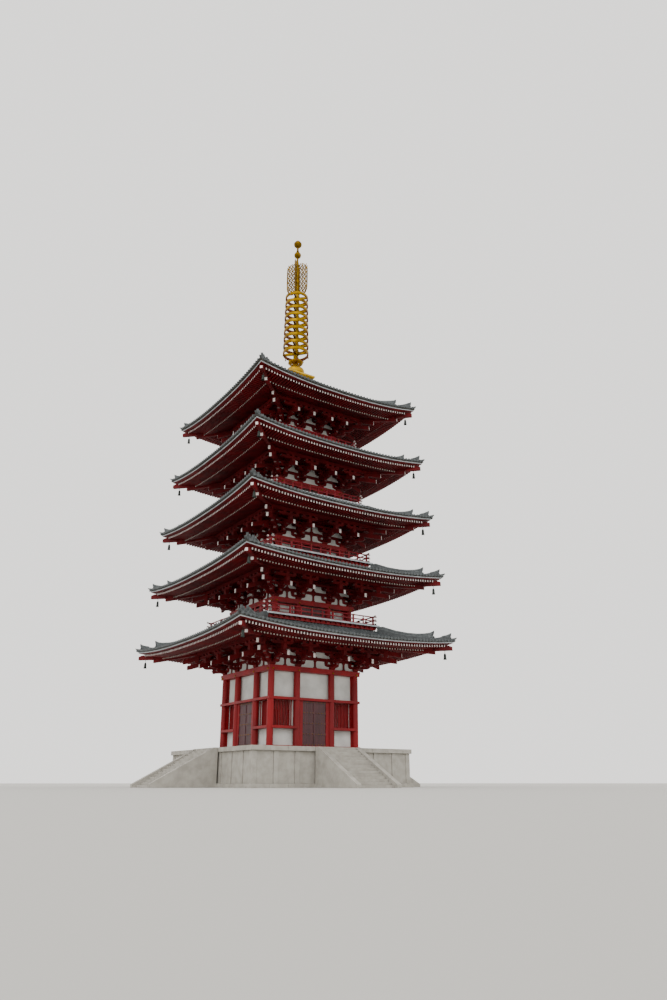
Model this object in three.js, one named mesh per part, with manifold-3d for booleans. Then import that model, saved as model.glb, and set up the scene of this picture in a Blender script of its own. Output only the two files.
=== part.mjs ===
// A five-storeyed timber pagoda with tiled roofs, on a stone podium, as a half-size model.
// Every length below is in millimetres of the real tower. The finished group is halved.
// The origin is on the ground at the centre of the plan, +Z is up and -Y is the front.

import * as THREE from 'three';
import { mergeVertices } from 'three/addons/utils/BufferGeometryUtils.js';
import Module from 'manifold-3d';

const wasm = await Module();
wasm.setup();

// Driving dimensions

const MODEL_SCALE = 1 / 2;
const GAP = 0.8;

const PODIUM = { half: 6500, height: 2600, baseStep: 150, baseHeight: 260, capStep: 120, capHeight: 300 };
const STEPS = { count: 15, tread: 300, width: 2800, cheek: 350, cheekRise: 220 };

// floor: top of the storey's floor. wall: half-width at the column axes. bay: half of the
// centre bay. eave: half-width at the eave edge. corner: height of the eave edge at its
// corners. lift: how far the corners rise above the middle. deck: half-width of the balcony.
const STOREYS = [
  { floor: 2600, wall: 3660, bay: 1500, eave: 9070, corner: 10420, lift: 470 },
  { floor: 11800, wall: 3340, bay: 1370, eave: 8620, corner: 15490, lift: 470, deck: 5100 },
  { floor: 16910, wall: 2970, bay: 1240, eave: 8180, corner: 20420, lift: 500, deck: 4790 },
  { floor: 21930, wall: 2740, bay: 990, eave: 7780, corner: 25370, lift: 550, deck: 4380 },
  { floor: 26930, wall: 2370, bay: 880, eave: 7400, corner: 30350, lift: 600, deck: 4040 },
];
const TOP = STOREYS.length - 1;

const COLUMN_RADIUS = 240;
const PLATE = { drop: 2150, height: 160, reach: 300 };
const HEAD_BEAM = 200;
const SILL_BEAM = 180;
const WALL_FACE = { outer: 241, inner: 400 };
const DOOR = { width: 2000, thickness: 80, set: 20 };
const WINDOW = { margin: 130, firstSill: 1500, firstHead: 3300, upperSill: 60, upperHead: 60 };

const RAFTER = { baseInset: 1430, flyInset: 350, slope: 0.3, baseDrop: 470, flyDrop: 360, boardDrop: 230 };
const CURVE_START = 1900;
const CURVE_ALONG = 2.4;
const CURVE_ACROSS = 1.3;
const HIP_BEAM = {
  root: 300, baseInset: 1000, flyInset: 60, width: 240, depth: 200, flyDrop: 720, cover: 150,
};
const PURLIN = { out: 1750, half: 110, height: 250 };
const BRACKET = { width: 200, band: 120, cornerWidth: 240 };
const TAIL = { reach: 2350, drop: 1600, height: 240, slope: 0.3, upperReach: 2600, upperDrop: 1050 };
const TILE = { reach: 200, height: 180, pitch: 0.03, topPitch: 0.3, cover: 60, rowRise: 70 };
const RIDGE = { width: 320, height: 400, lowHeight: 140, sink: 120, upperEnd: 1000, tipRise: 160 };
const BELL = { inset: 490, top: 930, bottom: 1380, radius: 150, rod: 30, hook: 380 };

const DECK = { board: 120, beam: 230, beamWidth: 200, beamInset: 250, rest: 100 };
const RAIL = { inset: 380, tip: 20, height: 745, size: 90, post: 110, foot: 110 };

const MAST_RADIUS = 130;
const ROBAN = {
  half: 1000, cornice: 1290, corniceHeight: 160, foot: 1100, footHeight: 120, base: 33770, top: 34540,
};
const BOWL = { radius: 840, shoulder: 35200, top: 35640 };
const LOTUS = { radius: 700, low: 35940, high: 36200, neck: 270, top: 36380 };
const RINGS = {
  count: 9, first: 37050, pitch: 744, low: 1190, high: 1070, band: 140, height: 280, sleeve: 190, spoke: 120,
};
const FLAME = { bottom: 43500, top: 47030, half: 1000, thickness: 70, sleeve: 200 };
const BALL = { centre: 47990, radius: 335 };
const JEWEL = { bottom: 48930, top: 49800, radius: 386 };

const QUARTER = Math.PI / 2;
const DIAGONAL = Math.SQRT2;
const SIDES = [0, 1, 2, 3];
const SIDE_NAMES = ['front', 'right', 'back', 'left'];

// Solid modelling on three.js geometry

function toSolid(geometry) {
  const bare = geometry.clone();
  bare.deleteAttribute('normal');
  bare.deleteAttribute('uv');
  const merged = mergeVertices(bare, 1e-3);
  const index = merged.index.array;
  const triangles = [];
  for (let i = 0; i < index.length; i += 3) {
    const [a, b, c] = [index[i], index[i + 1], index[i + 2]];
    if (a !== b && b !== c && c !== a) triangles.push(a, b, c);
  }
  const vertProperties = new Float32Array(merged.attributes.position.array);
  const triVerts = new Uint32Array(triangles);
  return new wasm.Manifold(new wasm.Mesh({ numProp: 3, vertProperties, triVerts }));
}

function toGeometry(solid) {
  const { vertProperties, triVerts } = solid.getMesh();
  const geometry = new THREE.BufferGeometry();
  geometry.setAttribute('position', new THREE.BufferAttribute(vertProperties, 3));
  geometry.setIndex(new THREE.BufferAttribute(triVerts, 1));
  return geometry;
}

function join(pieces) {
  const solids = pieces.map(toSolid);
  return toGeometry(solids.reduce((whole, solid) => whole.add(solid)));
}

function cut(body, tools) {
  const solids = tools.map(toSolid);
  return toGeometry(solids.reduce((whole, solid) => whole.subtract(solid), toSolid(body)));
}

function turned(geometry, side) {
  return geometry.clone().rotateZ(side * QUARTER);
}

function onAllSides(pieces) {
  return SIDES.flatMap((side) => pieces.map((piece) => turned(piece, side)));
}

function moved(geometry, x, y, z) {
  return geometry.clone().translate(x, y, z);
}

// Plain shapes

function box(x0, x1, y0, y1, z0, z1) {
  const geometry = new THREE.BoxGeometry(x1 - x0, y1 - y0, z1 - z0);
  return geometry.translate((x0 + x1) / 2, (y0 + y1) / 2, (z0 + z1) / 2);
}

function squarePlate(half, z0, z1) {
  return box(-half, half, -half, half, z0, z1);
}

// A member on the front side, from x0 to x1, between two distances out from the axis
function frontBox(x0, x1, outer, inner, z0, z1) {
  return box(x0, x1, -outer, -inner, z0, z1);
}

function squareFrame(outer, inner, z0, z1) {
  const shape = new THREE.Shape(square(outer));
  shape.holes.push(new THREE.Path(square(inner)));
  const geometry = new THREE.ExtrudeGeometry(shape, { depth: z1 - z0, bevelEnabled: false });
  return geometry.translate(0, 0, z0);
}

function square(half) {
  return [[-half, -half], [half, -half], [half, half], [-half, half]].map((p) => new THREE.Vector2(...p));
}

function post(x, y, radius, z0, z1, sides) {
  const geometry = new THREE.CylinderGeometry(radius, radius, z1 - z0, sides);
  return geometry.rotateX(QUARTER).translate(x, y, (z0 + z1) / 2);
}

// An outline of [distance out, height] points, drawn along +X and given a thickness across it
function blade(points, thickness) {
  const shape = new THREE.Shape(points.map((p) => new THREE.Vector2(...p)));
  const geometry = new THREE.ExtrudeGeometry(shape, { depth: thickness, bevelEnabled: false });
  return geometry.translate(0, 0, -thickness / 2).rotateX(QUARTER);
}

function lathe(points, sides) {
  const profile = points.map((p) => new THREE.Vector2(...p));
  return new THREE.LatheGeometry(profile, sides).rotateX(QUARTER);
}

// A closed profile of [distance, height] points carried round a square plan. Each side has
// SIDE_STEPS lengths, short ones near the corners, and every point may be lifted.
const SIDE_STEPS = 4;

function squareLathe(points, lift) {
  const geometry = lathe(points, 4 * SIDE_STEPS);
  const position = geometry.attributes.position;
  const point = new THREE.Vector3();
  const up = new THREE.Vector3(0, 0, 1);
  for (let i = 0; i < position.count; i += 1) {
    point.fromBufferAttribute(position, i);
    const distance = Math.hypot(point.x, point.y);
    const angle = Math.atan2(point.y, point.x);
    const side = Math.round(angle / QUARTER);
    const turn = 2 * (angle - side * QUARTER);
    const along = Math.sin(turn) * (2 - Math.abs(Math.sin(turn))) ** -0.5;
    const height = point.z + lift(distance, Math.abs(along));
    point.set(distance, distance * along, height).applyAxisAngle(up, side * QUARTER);
    position.setXYZ(i, point.x, point.y, point.z);
  }
  return geometry;
}

// Heights that the storeys share

const plateTop = (storey) => storey.corner - PLATE.drop;
const eaveLine = (storey) => storey.corner - storey.lift;

function soffit(storey, distance) {
  const run = storey.eave - RAFTER.baseInset - Math.max(distance, storey.wall);
  return eaveLine(storey) - RAFTER.baseDrop + RAFTER.slope * run;
}

function cornerLift(storey, distance, along) {
  const start = storey.wall + CURVE_START;
  const across = Math.max(0, (distance - start) / (storey.eave - start));
  return storey.lift * along ** CURVE_ALONG * across ** CURVE_ACROSS;
}

const columnPlaces = (storey) => [-storey.wall, -storey.bay, storey.bay, storey.wall];

// Stone podium and its four flights of steps

function podiumBlocks(grow) {
  const { half, height, baseStep, baseHeight, capStep, capHeight } = PODIUM;
  return [
    squarePlate(half + grow, -grow, height + grow),
    squarePlate(half + baseStep + grow, -grow, baseHeight + grow),
    squarePlate(half + capStep + grow, height - capHeight - grow, height + grow),
  ];
}

function flight() {
  const { count, tread, width, cheek, cheekRise } = STEPS;
  const riser = PODIUM.height / count;
  const start = PODIUM.half - 10;
  const foot = PODIUM.half + PODIUM.capStep + count * tread;
  const outline = [[start, 0], [foot, 0]];
  for (let i = 0; i < count; i += 1) {
    const face = foot - i * tread;
    outline.push([face, (i + 1) * riser], [face - tread, (i + 1) * riser]);
  }
  outline.push([start, PODIUM.height]);
  const cheekLine = [
    [start, 0], [foot + tread, 0], [foot + tread, cheekRise],
    [foot - (count - 1) * tread, PODIUM.height], [start, PODIUM.height],
  ];
  const across = (width + cheek) / 2;
  const whole = join([
    blade(outline, width + cheek),
    moved(blade(cheekLine, cheek), 0, across, 0),
    moved(blade(cheekLine, cheek), 0, -across, 0),
  ]);
  return cut(whole, podiumBlocks(GAP));
}

// Timber frame: round columns, sill and head beams, plate, and the timbers round the openings

function windowSpan(storey, first) {
  const x0 = storey.bay + COLUMN_RADIUS + WINDOW.margin;
  const x1 = storey.wall - COLUMN_RADIUS - WINDOW.margin;
  const head = plateTop(storey) - PLATE.height - HEAD_BEAM;
  const z0 = first ? storey.floor + WINDOW.firstSill : storey.floor + SILL_BEAM + WINDOW.upperSill;
  const z1 = first ? storey.floor + WINDOW.firstHead : head - WINDOW.upperHead;
  return { x0, x1, z0, z1 };
}

function doorSpan(storey, first) {
  const half = first ? DOOR.width / 2 : storey.bay - COLUMN_RADIUS;
  const z1 = first ? storey.floor + WINDOW.firstHead : plateTop(storey) - PLATE.height - HEAD_BEAM;
  return { half, z0: storey.floor + SILL_BEAM, z1 };
}

function storeyFrame(storey, first) {
  const top = plateTop(storey) - PLATE.height;
  const face = storey.wall - WALL_FACE.outer + GAP;
  const skin = storey.wall + COLUMN_RADIUS + 40;
  const columns = onAllSides(columnPlaces(storey).slice(1).map(
    (x) => post(x, -storey.wall, COLUMN_RADIUS, storey.floor + SILL_BEAM - 10, top - HEAD_BEAM + 10, 8)));
  const rings = [
    squareFrame(skin, face, storey.floor + GAP, storey.floor + SILL_BEAM),
    squareFrame(skin, face, top - HEAD_BEAM, top),
    squareFrame(storey.wall + PLATE.reach, storey.wall - PLATE.reach, top, plateTop(storey)),
  ];
  const door = doorSpan(storey, first);
  if (first) {
    const sill = storey.floor + WINDOW.firstSill;
    const head = storey.floor + WINDOW.firstHead;
    const bayEnd = storey.wall;
    rings.push(squareFrame(skin, face, head, head + SILL_BEAM));
    const timbers = [1, -1].flatMap((hand) => {
      const [a, b] = [hand * door.half, hand * storey.bay].sort((p, q) => p - q);
      const [c, d] = [hand * storey.bay, hand * bayEnd].sort((p, q) => p - q);
      return [
        frontBox(a, b, storey.wall + 60, face, door.z0 - 10, head + 10),
        frontBox(c, d, skin, face, sill - SILL_BEAM, sill),
      ];
    });
    return join([...columns, ...rings, ...onAllSides(timbers)]);
  }
  const doorFace = storey.wall + DOOR.set;
  const doorBack = doorFace - DOOR.thickness;
  const leaf = frontBox(-storey.bay, storey.bay, doorFace, doorBack, door.z0 - 10, door.z1 + 10);
  return join([...columns, ...rings, ...onAllSides([leaf])]);
}

function storeyWall(storey, first) {
  const [outer, inner] = [storey.wall - WALL_FACE.outer, storey.wall - WALL_FACE.inner];
  const top = plateTop(storey) - PLATE.height - GAP;
  const body = squareFrame(outer, inner, storey.floor + GAP, top);
  const window = windowSpan(storey, first);
  const door = doorSpan(storey, first);
  const openings = [
    frontBox(-door.half, door.half, outer + 1, inner - 1, first ? storey.floor : door.z0, door.z1),
    frontBox(window.x0, window.x1, outer + 1, inner - 1, window.z0, window.z1),
    frontBox(-window.x1, -window.x0, outer + 1, inner - 1, window.z0, window.z1),
  ];
  return cut(body, onAllSides(openings));
}

// A closed pair of plank doors with rails and a meeting strip
function doorPair(storey) {
  const { half, z0, z1 } = doorSpan(storey, true);
  const outer = storey.wall + DOOR.set;
  const inner = outer - DOOR.thickness;
  const raised = outer + 25;
  const [low, high] = [z0 + GAP, z1 - GAP];
  const edge = half - GAP;
  const railHeight = 160;
  const rails = [0, 1].map((part) => {
    const z = low + part * (high - low - railHeight);
    return frontBox(-edge, edge, raised, inner, z, z + railHeight);
  });
  const strip = frontBox(-70, 70, raised, inner, low, high);
  return join([frontBox(-edge, edge, outer, inner, low, high), strip, ...rails]);
}

// Bracket zone: wall band, stepped arms with tail rafters, and the eave purlin

function tailLine(storey, distance) {
  return storey.corner - TAIL.drop + TAIL.slope * (TAIL.reach - distance);
}

function armOutline(storey, stretch, reach) {
  const foot = plateTop(storey) + GAP;
  const beam = soffit(storey, storey.wall + PURLIN.out + PURLIN.half) - PURLIN.height;
  const under = (out) => tailLine(storey, out) - TAIL.height / 2;
  const over = (out) => tailLine(storey, out) + TAIL.height / 2;
  const points = [
    [-100, foot], [250, foot], [800, under(800)], [reach, under(reach)], [reach, over(reach)],
    [PURLIN.out + 90, beam + 20], [PURLIN.out - 90, beam + 20], [-100, over(-100) + 450],
  ];
  return points.map(([out, height]) => [stretch * out, height]);
}

function upperTail(storey) {
  const [start, end, half] = [600, TAIL.upperReach, TAIL.height / 2];
  const line = (out) => storey.corner - TAIL.upperDrop + TAIL.slope * (end - out);
  const points = [[start, line(start) - half - 300], [end, line(end) - half], [end, line(end) + half],
    [1950, line(1950) + half], [start, line(start) + half - 100]];
  return points.map(([out, height]) => [DIAGONAL * out, height]);
}

function storeyBrackets(storey) {
  const foot = plateTop(storey) + GAP;
  const bandTop = soffit(storey, storey.wall + BRACKET.band) - GAP;
  const purlinTop = soffit(storey, storey.wall + PURLIN.out + PURLIN.half) - GAP;
  const purlin = storey.wall + PURLIN.out;
  const arm = blade(armOutline(storey, 1, TAIL.reach), BRACKET.width);
  const arms = [-storey.bay, storey.bay].map((x) => moved(arm, storey.wall, x, 0));
  const corner = [
    blade(armOutline(storey, DIAGONAL, TAIL.reach - 50), BRACKET.cornerWidth),
    blade(upperTail(storey), BRACKET.cornerWidth),
  ].map((piece) => moved(piece, DIAGONAL * storey.wall, 0, 0).rotateZ(QUARTER / 2));
  const whole = join([
    squareFrame(storey.wall + BRACKET.band, storey.wall - BRACKET.band, foot, bandTop),
    squareFrame(purlin + PURLIN.half, purlin - PURLIN.half, purlinTop - PURLIN.height, purlinTop),
    ...onAllSides([...arms, ...corner]),
  ]);
  return cut(whole, onAllSides([cornerBeam(storey, GAP)]));
}

// Eaves: two tiers of rafters as one curved slab, corner beams and the corner bells

function slabTop(storey, distance) {
  const knee = storey.eave - RAFTER.baseInset;
  const rise = distance > knee ? 0 : 0.27 * (knee - Math.max(distance, storey.wall));
  return eaveLine(storey) + 0.06 * Math.min(RAFTER.baseInset, storey.eave - distance) + rise;
}

function innerEdge(index) {
  return index < TOP ? STOREYS[index + 1].wall - 350 : STOREYS[index].wall - 600;
}

function cornerBeam(storey, grow) {
  const { wall, eave, corner } = storey;
  const line = (r, height) => [DIAGONAL * r, height + cornerLift(storey, r, 1)];
  const [root, bend] = [wall + HIP_BEAM.root, wall + CURVE_START];
  const [baseEnd, flyEnd] = [eave - HIP_BEAM.baseInset, eave - HIP_BEAM.flyInset];
  const low = [root, bend, baseEnd].map((r) => line(r, soffit(storey, r) - HIP_BEAM.depth));
  const step = [baseEnd, flyEnd].map((r) => [DIAGONAL * r, corner - HIP_BEAM.flyDrop]);
  const high = [flyEnd, baseEnd, bend, root].map((r) => line(r, slabTop(storey, r) - HIP_BEAM.cover));
  const width = HIP_BEAM.width + 2 * grow;
  return blade([...low, ...step, ...high], width).rotateZ(QUARTER / 2).translate(0, 0, -grow);
}

function bell(storey) {
  const { corner } = storey;
  const height = BELL.bottom - BELL.top;
  const shoulder = corner - BELL.top;
  const mouth = corner - BELL.bottom;
  const profile = [
    [0, mouth], [BELL.radius, mouth], [BELL.radius * 0.6, shoulder - 0.15 * height],
    [BELL.rod, shoulder], [BELL.rod, corner - BELL.hook], [0, corner - BELL.hook],
  ];
  const place = storey.eave - BELL.inset;
  return moved(lathe(profile, 6), place, place, 0);
}

function storeyEaves(storey, index) {
  const { eave, wall } = storey;
  const line = eaveLine(storey);
  const inner = innerEdge(index);
  const knee = eave - RAFTER.baseInset;
  const fly = eave - RAFTER.flyInset;
  const start = wall + CURVE_START;
  const under = line - RAFTER.flyDrop;
  const profile = [
    [inner, soffit(storey, wall)], [wall, soffit(storey, wall)], [start, soffit(storey, start)],
    [knee, line - RAFTER.baseDrop],
    [knee, under + 20], [fly, under], [fly, line - RAFTER.boardDrop],
    [eave, line - RAFTER.boardDrop], [eave, line], [knee, slabTop(storey, knee)],
    [wall, slabTop(storey, wall)], [inner, slabTop(storey, wall)], [inner, soffit(storey, wall)],
  ];
  const slab = squareLathe(profile, (distance, along) => cornerLift(storey, distance, along));
  return join([slab, ...onAllSides([cornerBeam(storey, 0), bell(storey)])]);
}

// Tiled roofs with their hip ridges

function roofTop(index) {
  const storey = STOREYS[index];
  const edge = storey.eave + TILE.reach;
  const base = eaveLine(storey) + TILE.height;
  const next = STOREYS[index + 1];
  const head = next
    ? { distance: next.deck - DECK.rest, height: next.floor - DECK.board - DECK.beam - GAP }
    : { distance: ROBAN.foot + 50, height: ROBAN.base - GAP };
  const pitch = next ? TILE.pitch : TILE.topPitch;
  const run = edge - head.distance;
  const bend = (head.height - base - pitch * run) / run ** 2;
  const surface = (distance) => {
    const u = edge - Math.max(distance, head.distance);
    return base + pitch * u + bend * u ** 2;
  };
  return { edge, head, surface };
}

function hipRidge(storey, surface, start, end, height) {
  const samples = [0, 0.35, 0.7, 1].map((part) => start + part * (end - start));
  const line = (r, offset) => [DIAGONAL * r, surface(r) + cornerLift(storey, r, 1) + offset];
  const low = samples.map((r) => line(r, -RIDGE.sink));
  const high = samples.map((r, i) => line(r, height + (i === 3 ? RIDGE.tipRise : 0))).reverse();
  return blade([...low, ...high], RIDGE.width).rotateZ(QUARTER / 2);
}

// The solid's top lies halfway between the pan tiles and the crests of the rows of cover tiles.
function storeyRoof(index, eaves) {
  const storey = STOREYS[index];
  const { edge, head, surface } = roofTop(index);
  const lift = (distance, along) => cornerLift(storey, distance, along);
  const inner = innerEdge(index) + 50;
  const middle = (distance) => slabTop(storey, distance) - TILE.cover;
  const knee = storey.eave - RAFTER.baseInset;
  const lip = storey.eave - 40;
  const root = middle(storey.wall);
  const dome = [[0, head.height - 700], [700, head.height - 700], [inner, root + 700], [inner, root]];
  const under = index < TOP ? [[inner, root]] : dome;
  const over = index < TOP ? [[inner, head.height], [inner, root]] : [[0, head.height]];
  const bed = (distance) => [distance, surface(distance) - TILE.rowRise];
  const slope = [0, 0.2, 0.45, 0.7, 0.92].map((part) => edge + part * (head.distance - edge));
  const profile = [
    ...under, [storey.wall, root], [knee, middle(knee)], [lip, eaveLine(storey) - TILE.cover],
    [lip, eaveLine(storey) + 10], [edge, eaveLine(storey) + 20],
    ...slope.map(bed), [head.distance, head.height], ...over,
  ];
  const shell = squareLathe(profile, lift);
  const split = storey.eave - RIDGE.upperEnd;
  const ridgeStart = index < TOP ? STOREYS[index + 1].deck + 10 : ROBAN.foot + 50;
  const ridges = [
    hipRidge(storey, surface, ridgeStart, split, RIDGE.height),
    hipRidge(storey, surface, split - 50, storey.eave + 20, RIDGE.lowHeight),
  ];
  return cut(join([shell, ...onAllSides(ridges)]), [moved(eaves, 0, 0, GAP)]);
}

// Balcony deck and balustrade

function balcony(storey) {
  const { floor, deck, wall } = storey;
  const beamTop = floor - DECK.board + 10;
  const foot = floor - DECK.board - DECK.beam;
  const outer = deck - DECK.beamInset;
  return join([
    squarePlate(deck, floor - DECK.board, floor),
    squareFrame(outer, outer - DECK.beamWidth, foot, beamTop),
    squareFrame(wall + 100, wall - 250, foot, beamTop),
  ]);
}

function balustrade(storey) {
  const { floor, deck } = storey;
  const line = deck - RAIL.inset;
  const tip = deck - RAIL.tip;
  const rail = (half, size, z0, z1) => frontBox(-half, half, line + size / 2, line - size / 2, z0, z1);
  const rails = [
    rail(tip, RAIL.size, floor + RAIL.height - RAIL.size, floor + RAIL.height),
  ];
  const half = RAIL.post / 2;
  const [postFoot, postTop] = [floor + RAIL.foot - 10, floor + RAIL.height - 20];
  const posts = [-1, 0].map((part) => {
    const x = part * line;
    return frontBox(x - half, x + half, line + half, line - half, postFoot, postTop);
  });
  const foot = squareFrame(line + half, line - half, floor + GAP, floor + RAIL.foot);
  return join([foot, ...onAllSides([...rails, ...posts])]);
}

// Gilt finial

function roban() {
  const { half, cornice, corniceHeight, foot, footHeight, base, top } = ROBAN;
  return join([
    squarePlate(half, base, top),
    squarePlate(foot, base, base + footHeight),
    squarePlate(cornice, top - corniceHeight, top),
  ]);
}

function bowlAndLotus() {
  const base = ROBAN.top + GAP;
  const { radius, shoulder, top } = BOWL;
  const { neck, low, high } = LOTUS;
  const dome = [0, 0.25, 0.5, 0.75].map((part) => {
    const angle = part * QUARTER;
    return [radius * Math.cos(angle), shoulder + (top - shoulder) * Math.sin(angle)];
  });
  return lathe([
    [0, base], [radius, base], ...dome, [neck, top - 20], [neck, low], [LOTUS.radius * 0.75, low + 60],
    [LOTUS.radius, high - 60], [LOTUS.radius, high], [LOTUS.radius * 0.6, high - 40], [neck, high - 60],
    [neck, LOTUS.top], [0, LOTUS.top],
  ], 12);
}

function mast() {
  const neck = 0.6 * MAST_RADIUS;
  const ball = [-1, -0.5, 0, 0.5, 1].map((part) => {
    const angle = part * QUARTER * 0.85;
    return [BALL.radius * Math.cos(angle), BALL.centre + BALL.radius * Math.sin(angle)];
  });
  const height = JEWEL.top - JEWEL.bottom;
  const base = LOTUS.top + GAP;
  return lathe([
    [0, base], [MAST_RADIUS, base], [MAST_RADIUS, FLAME.top + 100], [neck, FLAME.top + 200],
    ...ball, [neck, BALL.centre + BALL.radius + 60], [neck, JEWEL.bottom - 20],
    [JEWEL.radius * 0.7, JEWEL.bottom + 0.12 * height], [JEWEL.radius, JEWEL.bottom + 0.38 * height],
    [JEWEL.radius * 0.75, JEWEL.bottom + 0.65 * height], [0, JEWEL.top],
  ], 10);
}

// Spokes and flame vanes point at the corners of the roof.
function nineRings() {
  const levels = Array.from({ length: RINGS.count }, (_, i) => i);
  const pieces = levels.flatMap((i) => {
    const radius = RINGS.low + (RINGS.high - RINGS.low) * (i / (RINGS.count - 1));
    const z = RINGS.first + i * RINGS.pitch;
    const inner = radius - RINGS.band;
    const low = z - RINGS.height / 2;
    const high = z + RINGS.height / 2;
    const rim = lathe([[inner, low], [radius, low], [radius, high], [inner, high], [inner, low]], 10);
    const reach = inner + 0.02 * radius;
    const half = RINGS.spoke / 2;
    const spoke = box(-reach, reach, -half, half, z - 70, z + 70);
    return [rim, ...[1, -1].map((hand) => spoke.clone().rotateZ(hand * QUARTER / 2))];
  });
  const base = LOTUS.top + GAP;
  const end = FLAME.bottom - 2 * GAP;
  const sleeve = lathe([[0, base], [RINGS.sleeve, base], [RINGS.sleeve, end], [0, end]], 10);
  return cut(join([sleeve, ...pieces]), [post(0, 0, MAST_RADIUS + GAP, base - 10, end + 10, 10)]);
}

function flame() {
  const height = FLAME.top - FLAME.bottom;
  const outline = [
    [0, 0.02], [0.45, 0], [0.85, 0.07], [1, 0.2], [0.97, 0.35], [1, 0.5],
    [0.97, 0.65], [1, 0.8], [0.85, 0.97], [0.5, 0.96], [0.2, 1], [0, 0.97],
  ].map(([out, up]) => [FLAME.half * out, FLAME.bottom + height * up]);
  const vane = blade(outline, FLAME.thickness).rotateZ(QUARTER / 2);
  const sleeve = post(0, 0, FLAME.sleeve, FLAME.bottom, FLAME.top - 100, 10);
  const bore = post(0, 0, MAST_RADIUS + GAP, FLAME.bottom - 10, FLAME.top + 10, 10);
  return cut(join([sleeve, ...onAllSides([vane])]), [bore]);
}

// Materials

function finish(color, roughness, metalness = 0) {
  return new THREE.MeshStandardMaterial({ color, roughness, metalness });
}

const STONE = finish('#a9a59c', 0.85);
const RED_TIMBER = finish('#8d2420', 0.55);
const DARK_TIMBER = finish('#5b1a1a', 0.6);
const PLASTER = finish('#d9d9d2', 0.9);
const TILES = finish('#6c7274', 0.7);
const GILT = finish('#c79a35', 0.35, 1);

// Assembly

const pagoda = new THREE.Group();
pagoda.name = 'pagoda';
pagoda.scale.setScalar(MODEL_SCALE);

function place(name, geometry, material) {
  const mesh = new THREE.Mesh(geometry, material);
  mesh.name = name;
  pagoda.add(mesh);
}

place('stone_podium', join(podiumBlocks(0)), STONE);
SIDE_NAMES.forEach((name, side) => place(`steps_${name}`, turned(flight(), side - 1), STONE));
SIDE_NAMES.forEach((name, side) => place(`door_${name}`, turned(doorPair(STOREYS[0]), side), RED_TIMBER));

STOREYS.forEach((storey, index) => {
  const number = index + 1;
  const first = index === 0;
  if (!first) {
    place(`balcony_${number}`, balcony(storey), RED_TIMBER);
    place(`balustrade_${number}`, balustrade(storey), RED_TIMBER);
  }
  place(`frame_${number}`, storeyFrame(storey, first), RED_TIMBER);
  place(`wall_${number}`, storeyWall(storey, first), PLASTER);
  place(`brackets_${number}`, storeyBrackets(storey), DARK_TIMBER);
  const eaves = storeyEaves(storey, index);
  place(`eaves_${number}`, eaves, DARK_TIMBER);
  place(`roof_${number}`, storeyRoof(index, eaves), TILES);
});

place('roban', roban(), GILT);
place('bowl_and_lotus', bowlAndLotus(), GILT);
place('mast', mast(), GILT);
place('nine_rings', nineRings(), GILT);
place('flame', flame(), GILT);

export default pagoda;
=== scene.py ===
import math
from types import SimpleNamespace

import bmesh
import bpy
from mathutils import Matrix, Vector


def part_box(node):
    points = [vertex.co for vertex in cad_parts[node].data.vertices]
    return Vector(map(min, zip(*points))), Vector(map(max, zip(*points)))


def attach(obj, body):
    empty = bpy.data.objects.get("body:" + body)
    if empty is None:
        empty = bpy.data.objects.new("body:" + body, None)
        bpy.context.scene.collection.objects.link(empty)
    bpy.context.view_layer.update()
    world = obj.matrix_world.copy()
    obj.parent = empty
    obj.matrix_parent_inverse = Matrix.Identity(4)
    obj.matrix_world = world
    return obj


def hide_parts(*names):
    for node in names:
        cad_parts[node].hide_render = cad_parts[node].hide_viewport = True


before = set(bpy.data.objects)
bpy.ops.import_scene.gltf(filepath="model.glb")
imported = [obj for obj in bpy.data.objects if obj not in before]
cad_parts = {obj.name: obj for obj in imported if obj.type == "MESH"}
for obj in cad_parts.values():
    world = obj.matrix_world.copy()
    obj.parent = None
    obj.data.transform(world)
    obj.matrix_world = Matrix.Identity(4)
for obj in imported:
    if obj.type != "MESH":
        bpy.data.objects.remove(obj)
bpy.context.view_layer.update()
scene = bpy.context.scene

# The stage: a pale floor under an overcast sky, seen from a standing person's eye height
# at half size, from the corner between the front and the left-hand side. The lengths in
# this section are the model's own. All the others are metres of the real tower.
CAMERA = SimpleNamespace(place=(-15.381, -26.037, 0.150), pitch=20.445, heading=-33.848, lens=27.32, film=36)
LAMPS = (("high_cloud", 1.1, 70, (28, -24, 0)), ("open_side", 0.5, 60, (62, 0, -60)))
FLOOR_REACH = 300


def placed(name, data):
    """A new object of the scene."""
    thing = bpy.data.objects.new(name, data)
    scene.collection.objects.link(thing)
    return thing


camera_data = bpy.data.cameras.new("camera")
camera_data.lens = CAMERA.lens
camera_data.sensor_width = CAMERA.film
camera_data.clip_end = 3 * FLOOR_REACH
camera = placed("camera", camera_data)
camera.location = CAMERA.place
camera.rotation_euler = (math.radians(90 + CAMERA.pitch), 0, math.radians(CAMERA.heading))
scene.camera = camera


def add(tree, kind, sockets=None, **settings):
    """Adds a node with its settings, and gives its sockets values or links."""
    node = tree.nodes.new(kind)
    for key, value in settings.items():
        setattr(node, key, value)
    for key, value in (sockets or {}).items():
        if isinstance(value, bpy.types.NodeSocket):
            tree.links.new(value, node.inputs[key])
        else:
            node.inputs[key].default_value = value
    return node


def linear(code):
    """An sRGB hex colour as linear red, green, blue and alpha."""
    parts = [int(code[i:i + 2], 16) / 255 for i in (1, 3, 5)]
    return (*[p / 12.92 if p <= 0.04045 else ((p + 0.055) / 1.055) ** 2.4 for p in parts], 1)


world = bpy.data.worlds.new("overcast")
world.use_nodes = True
world.node_tree.nodes.clear()
sky = add(world.node_tree, "ShaderNodeBackground", {"Color": linear("#eceae7"), "Strength": 1.95})
add(world.node_tree, "ShaderNodeOutputWorld", {"Surface": sky.outputs[0]})
scene.world = world

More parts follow.
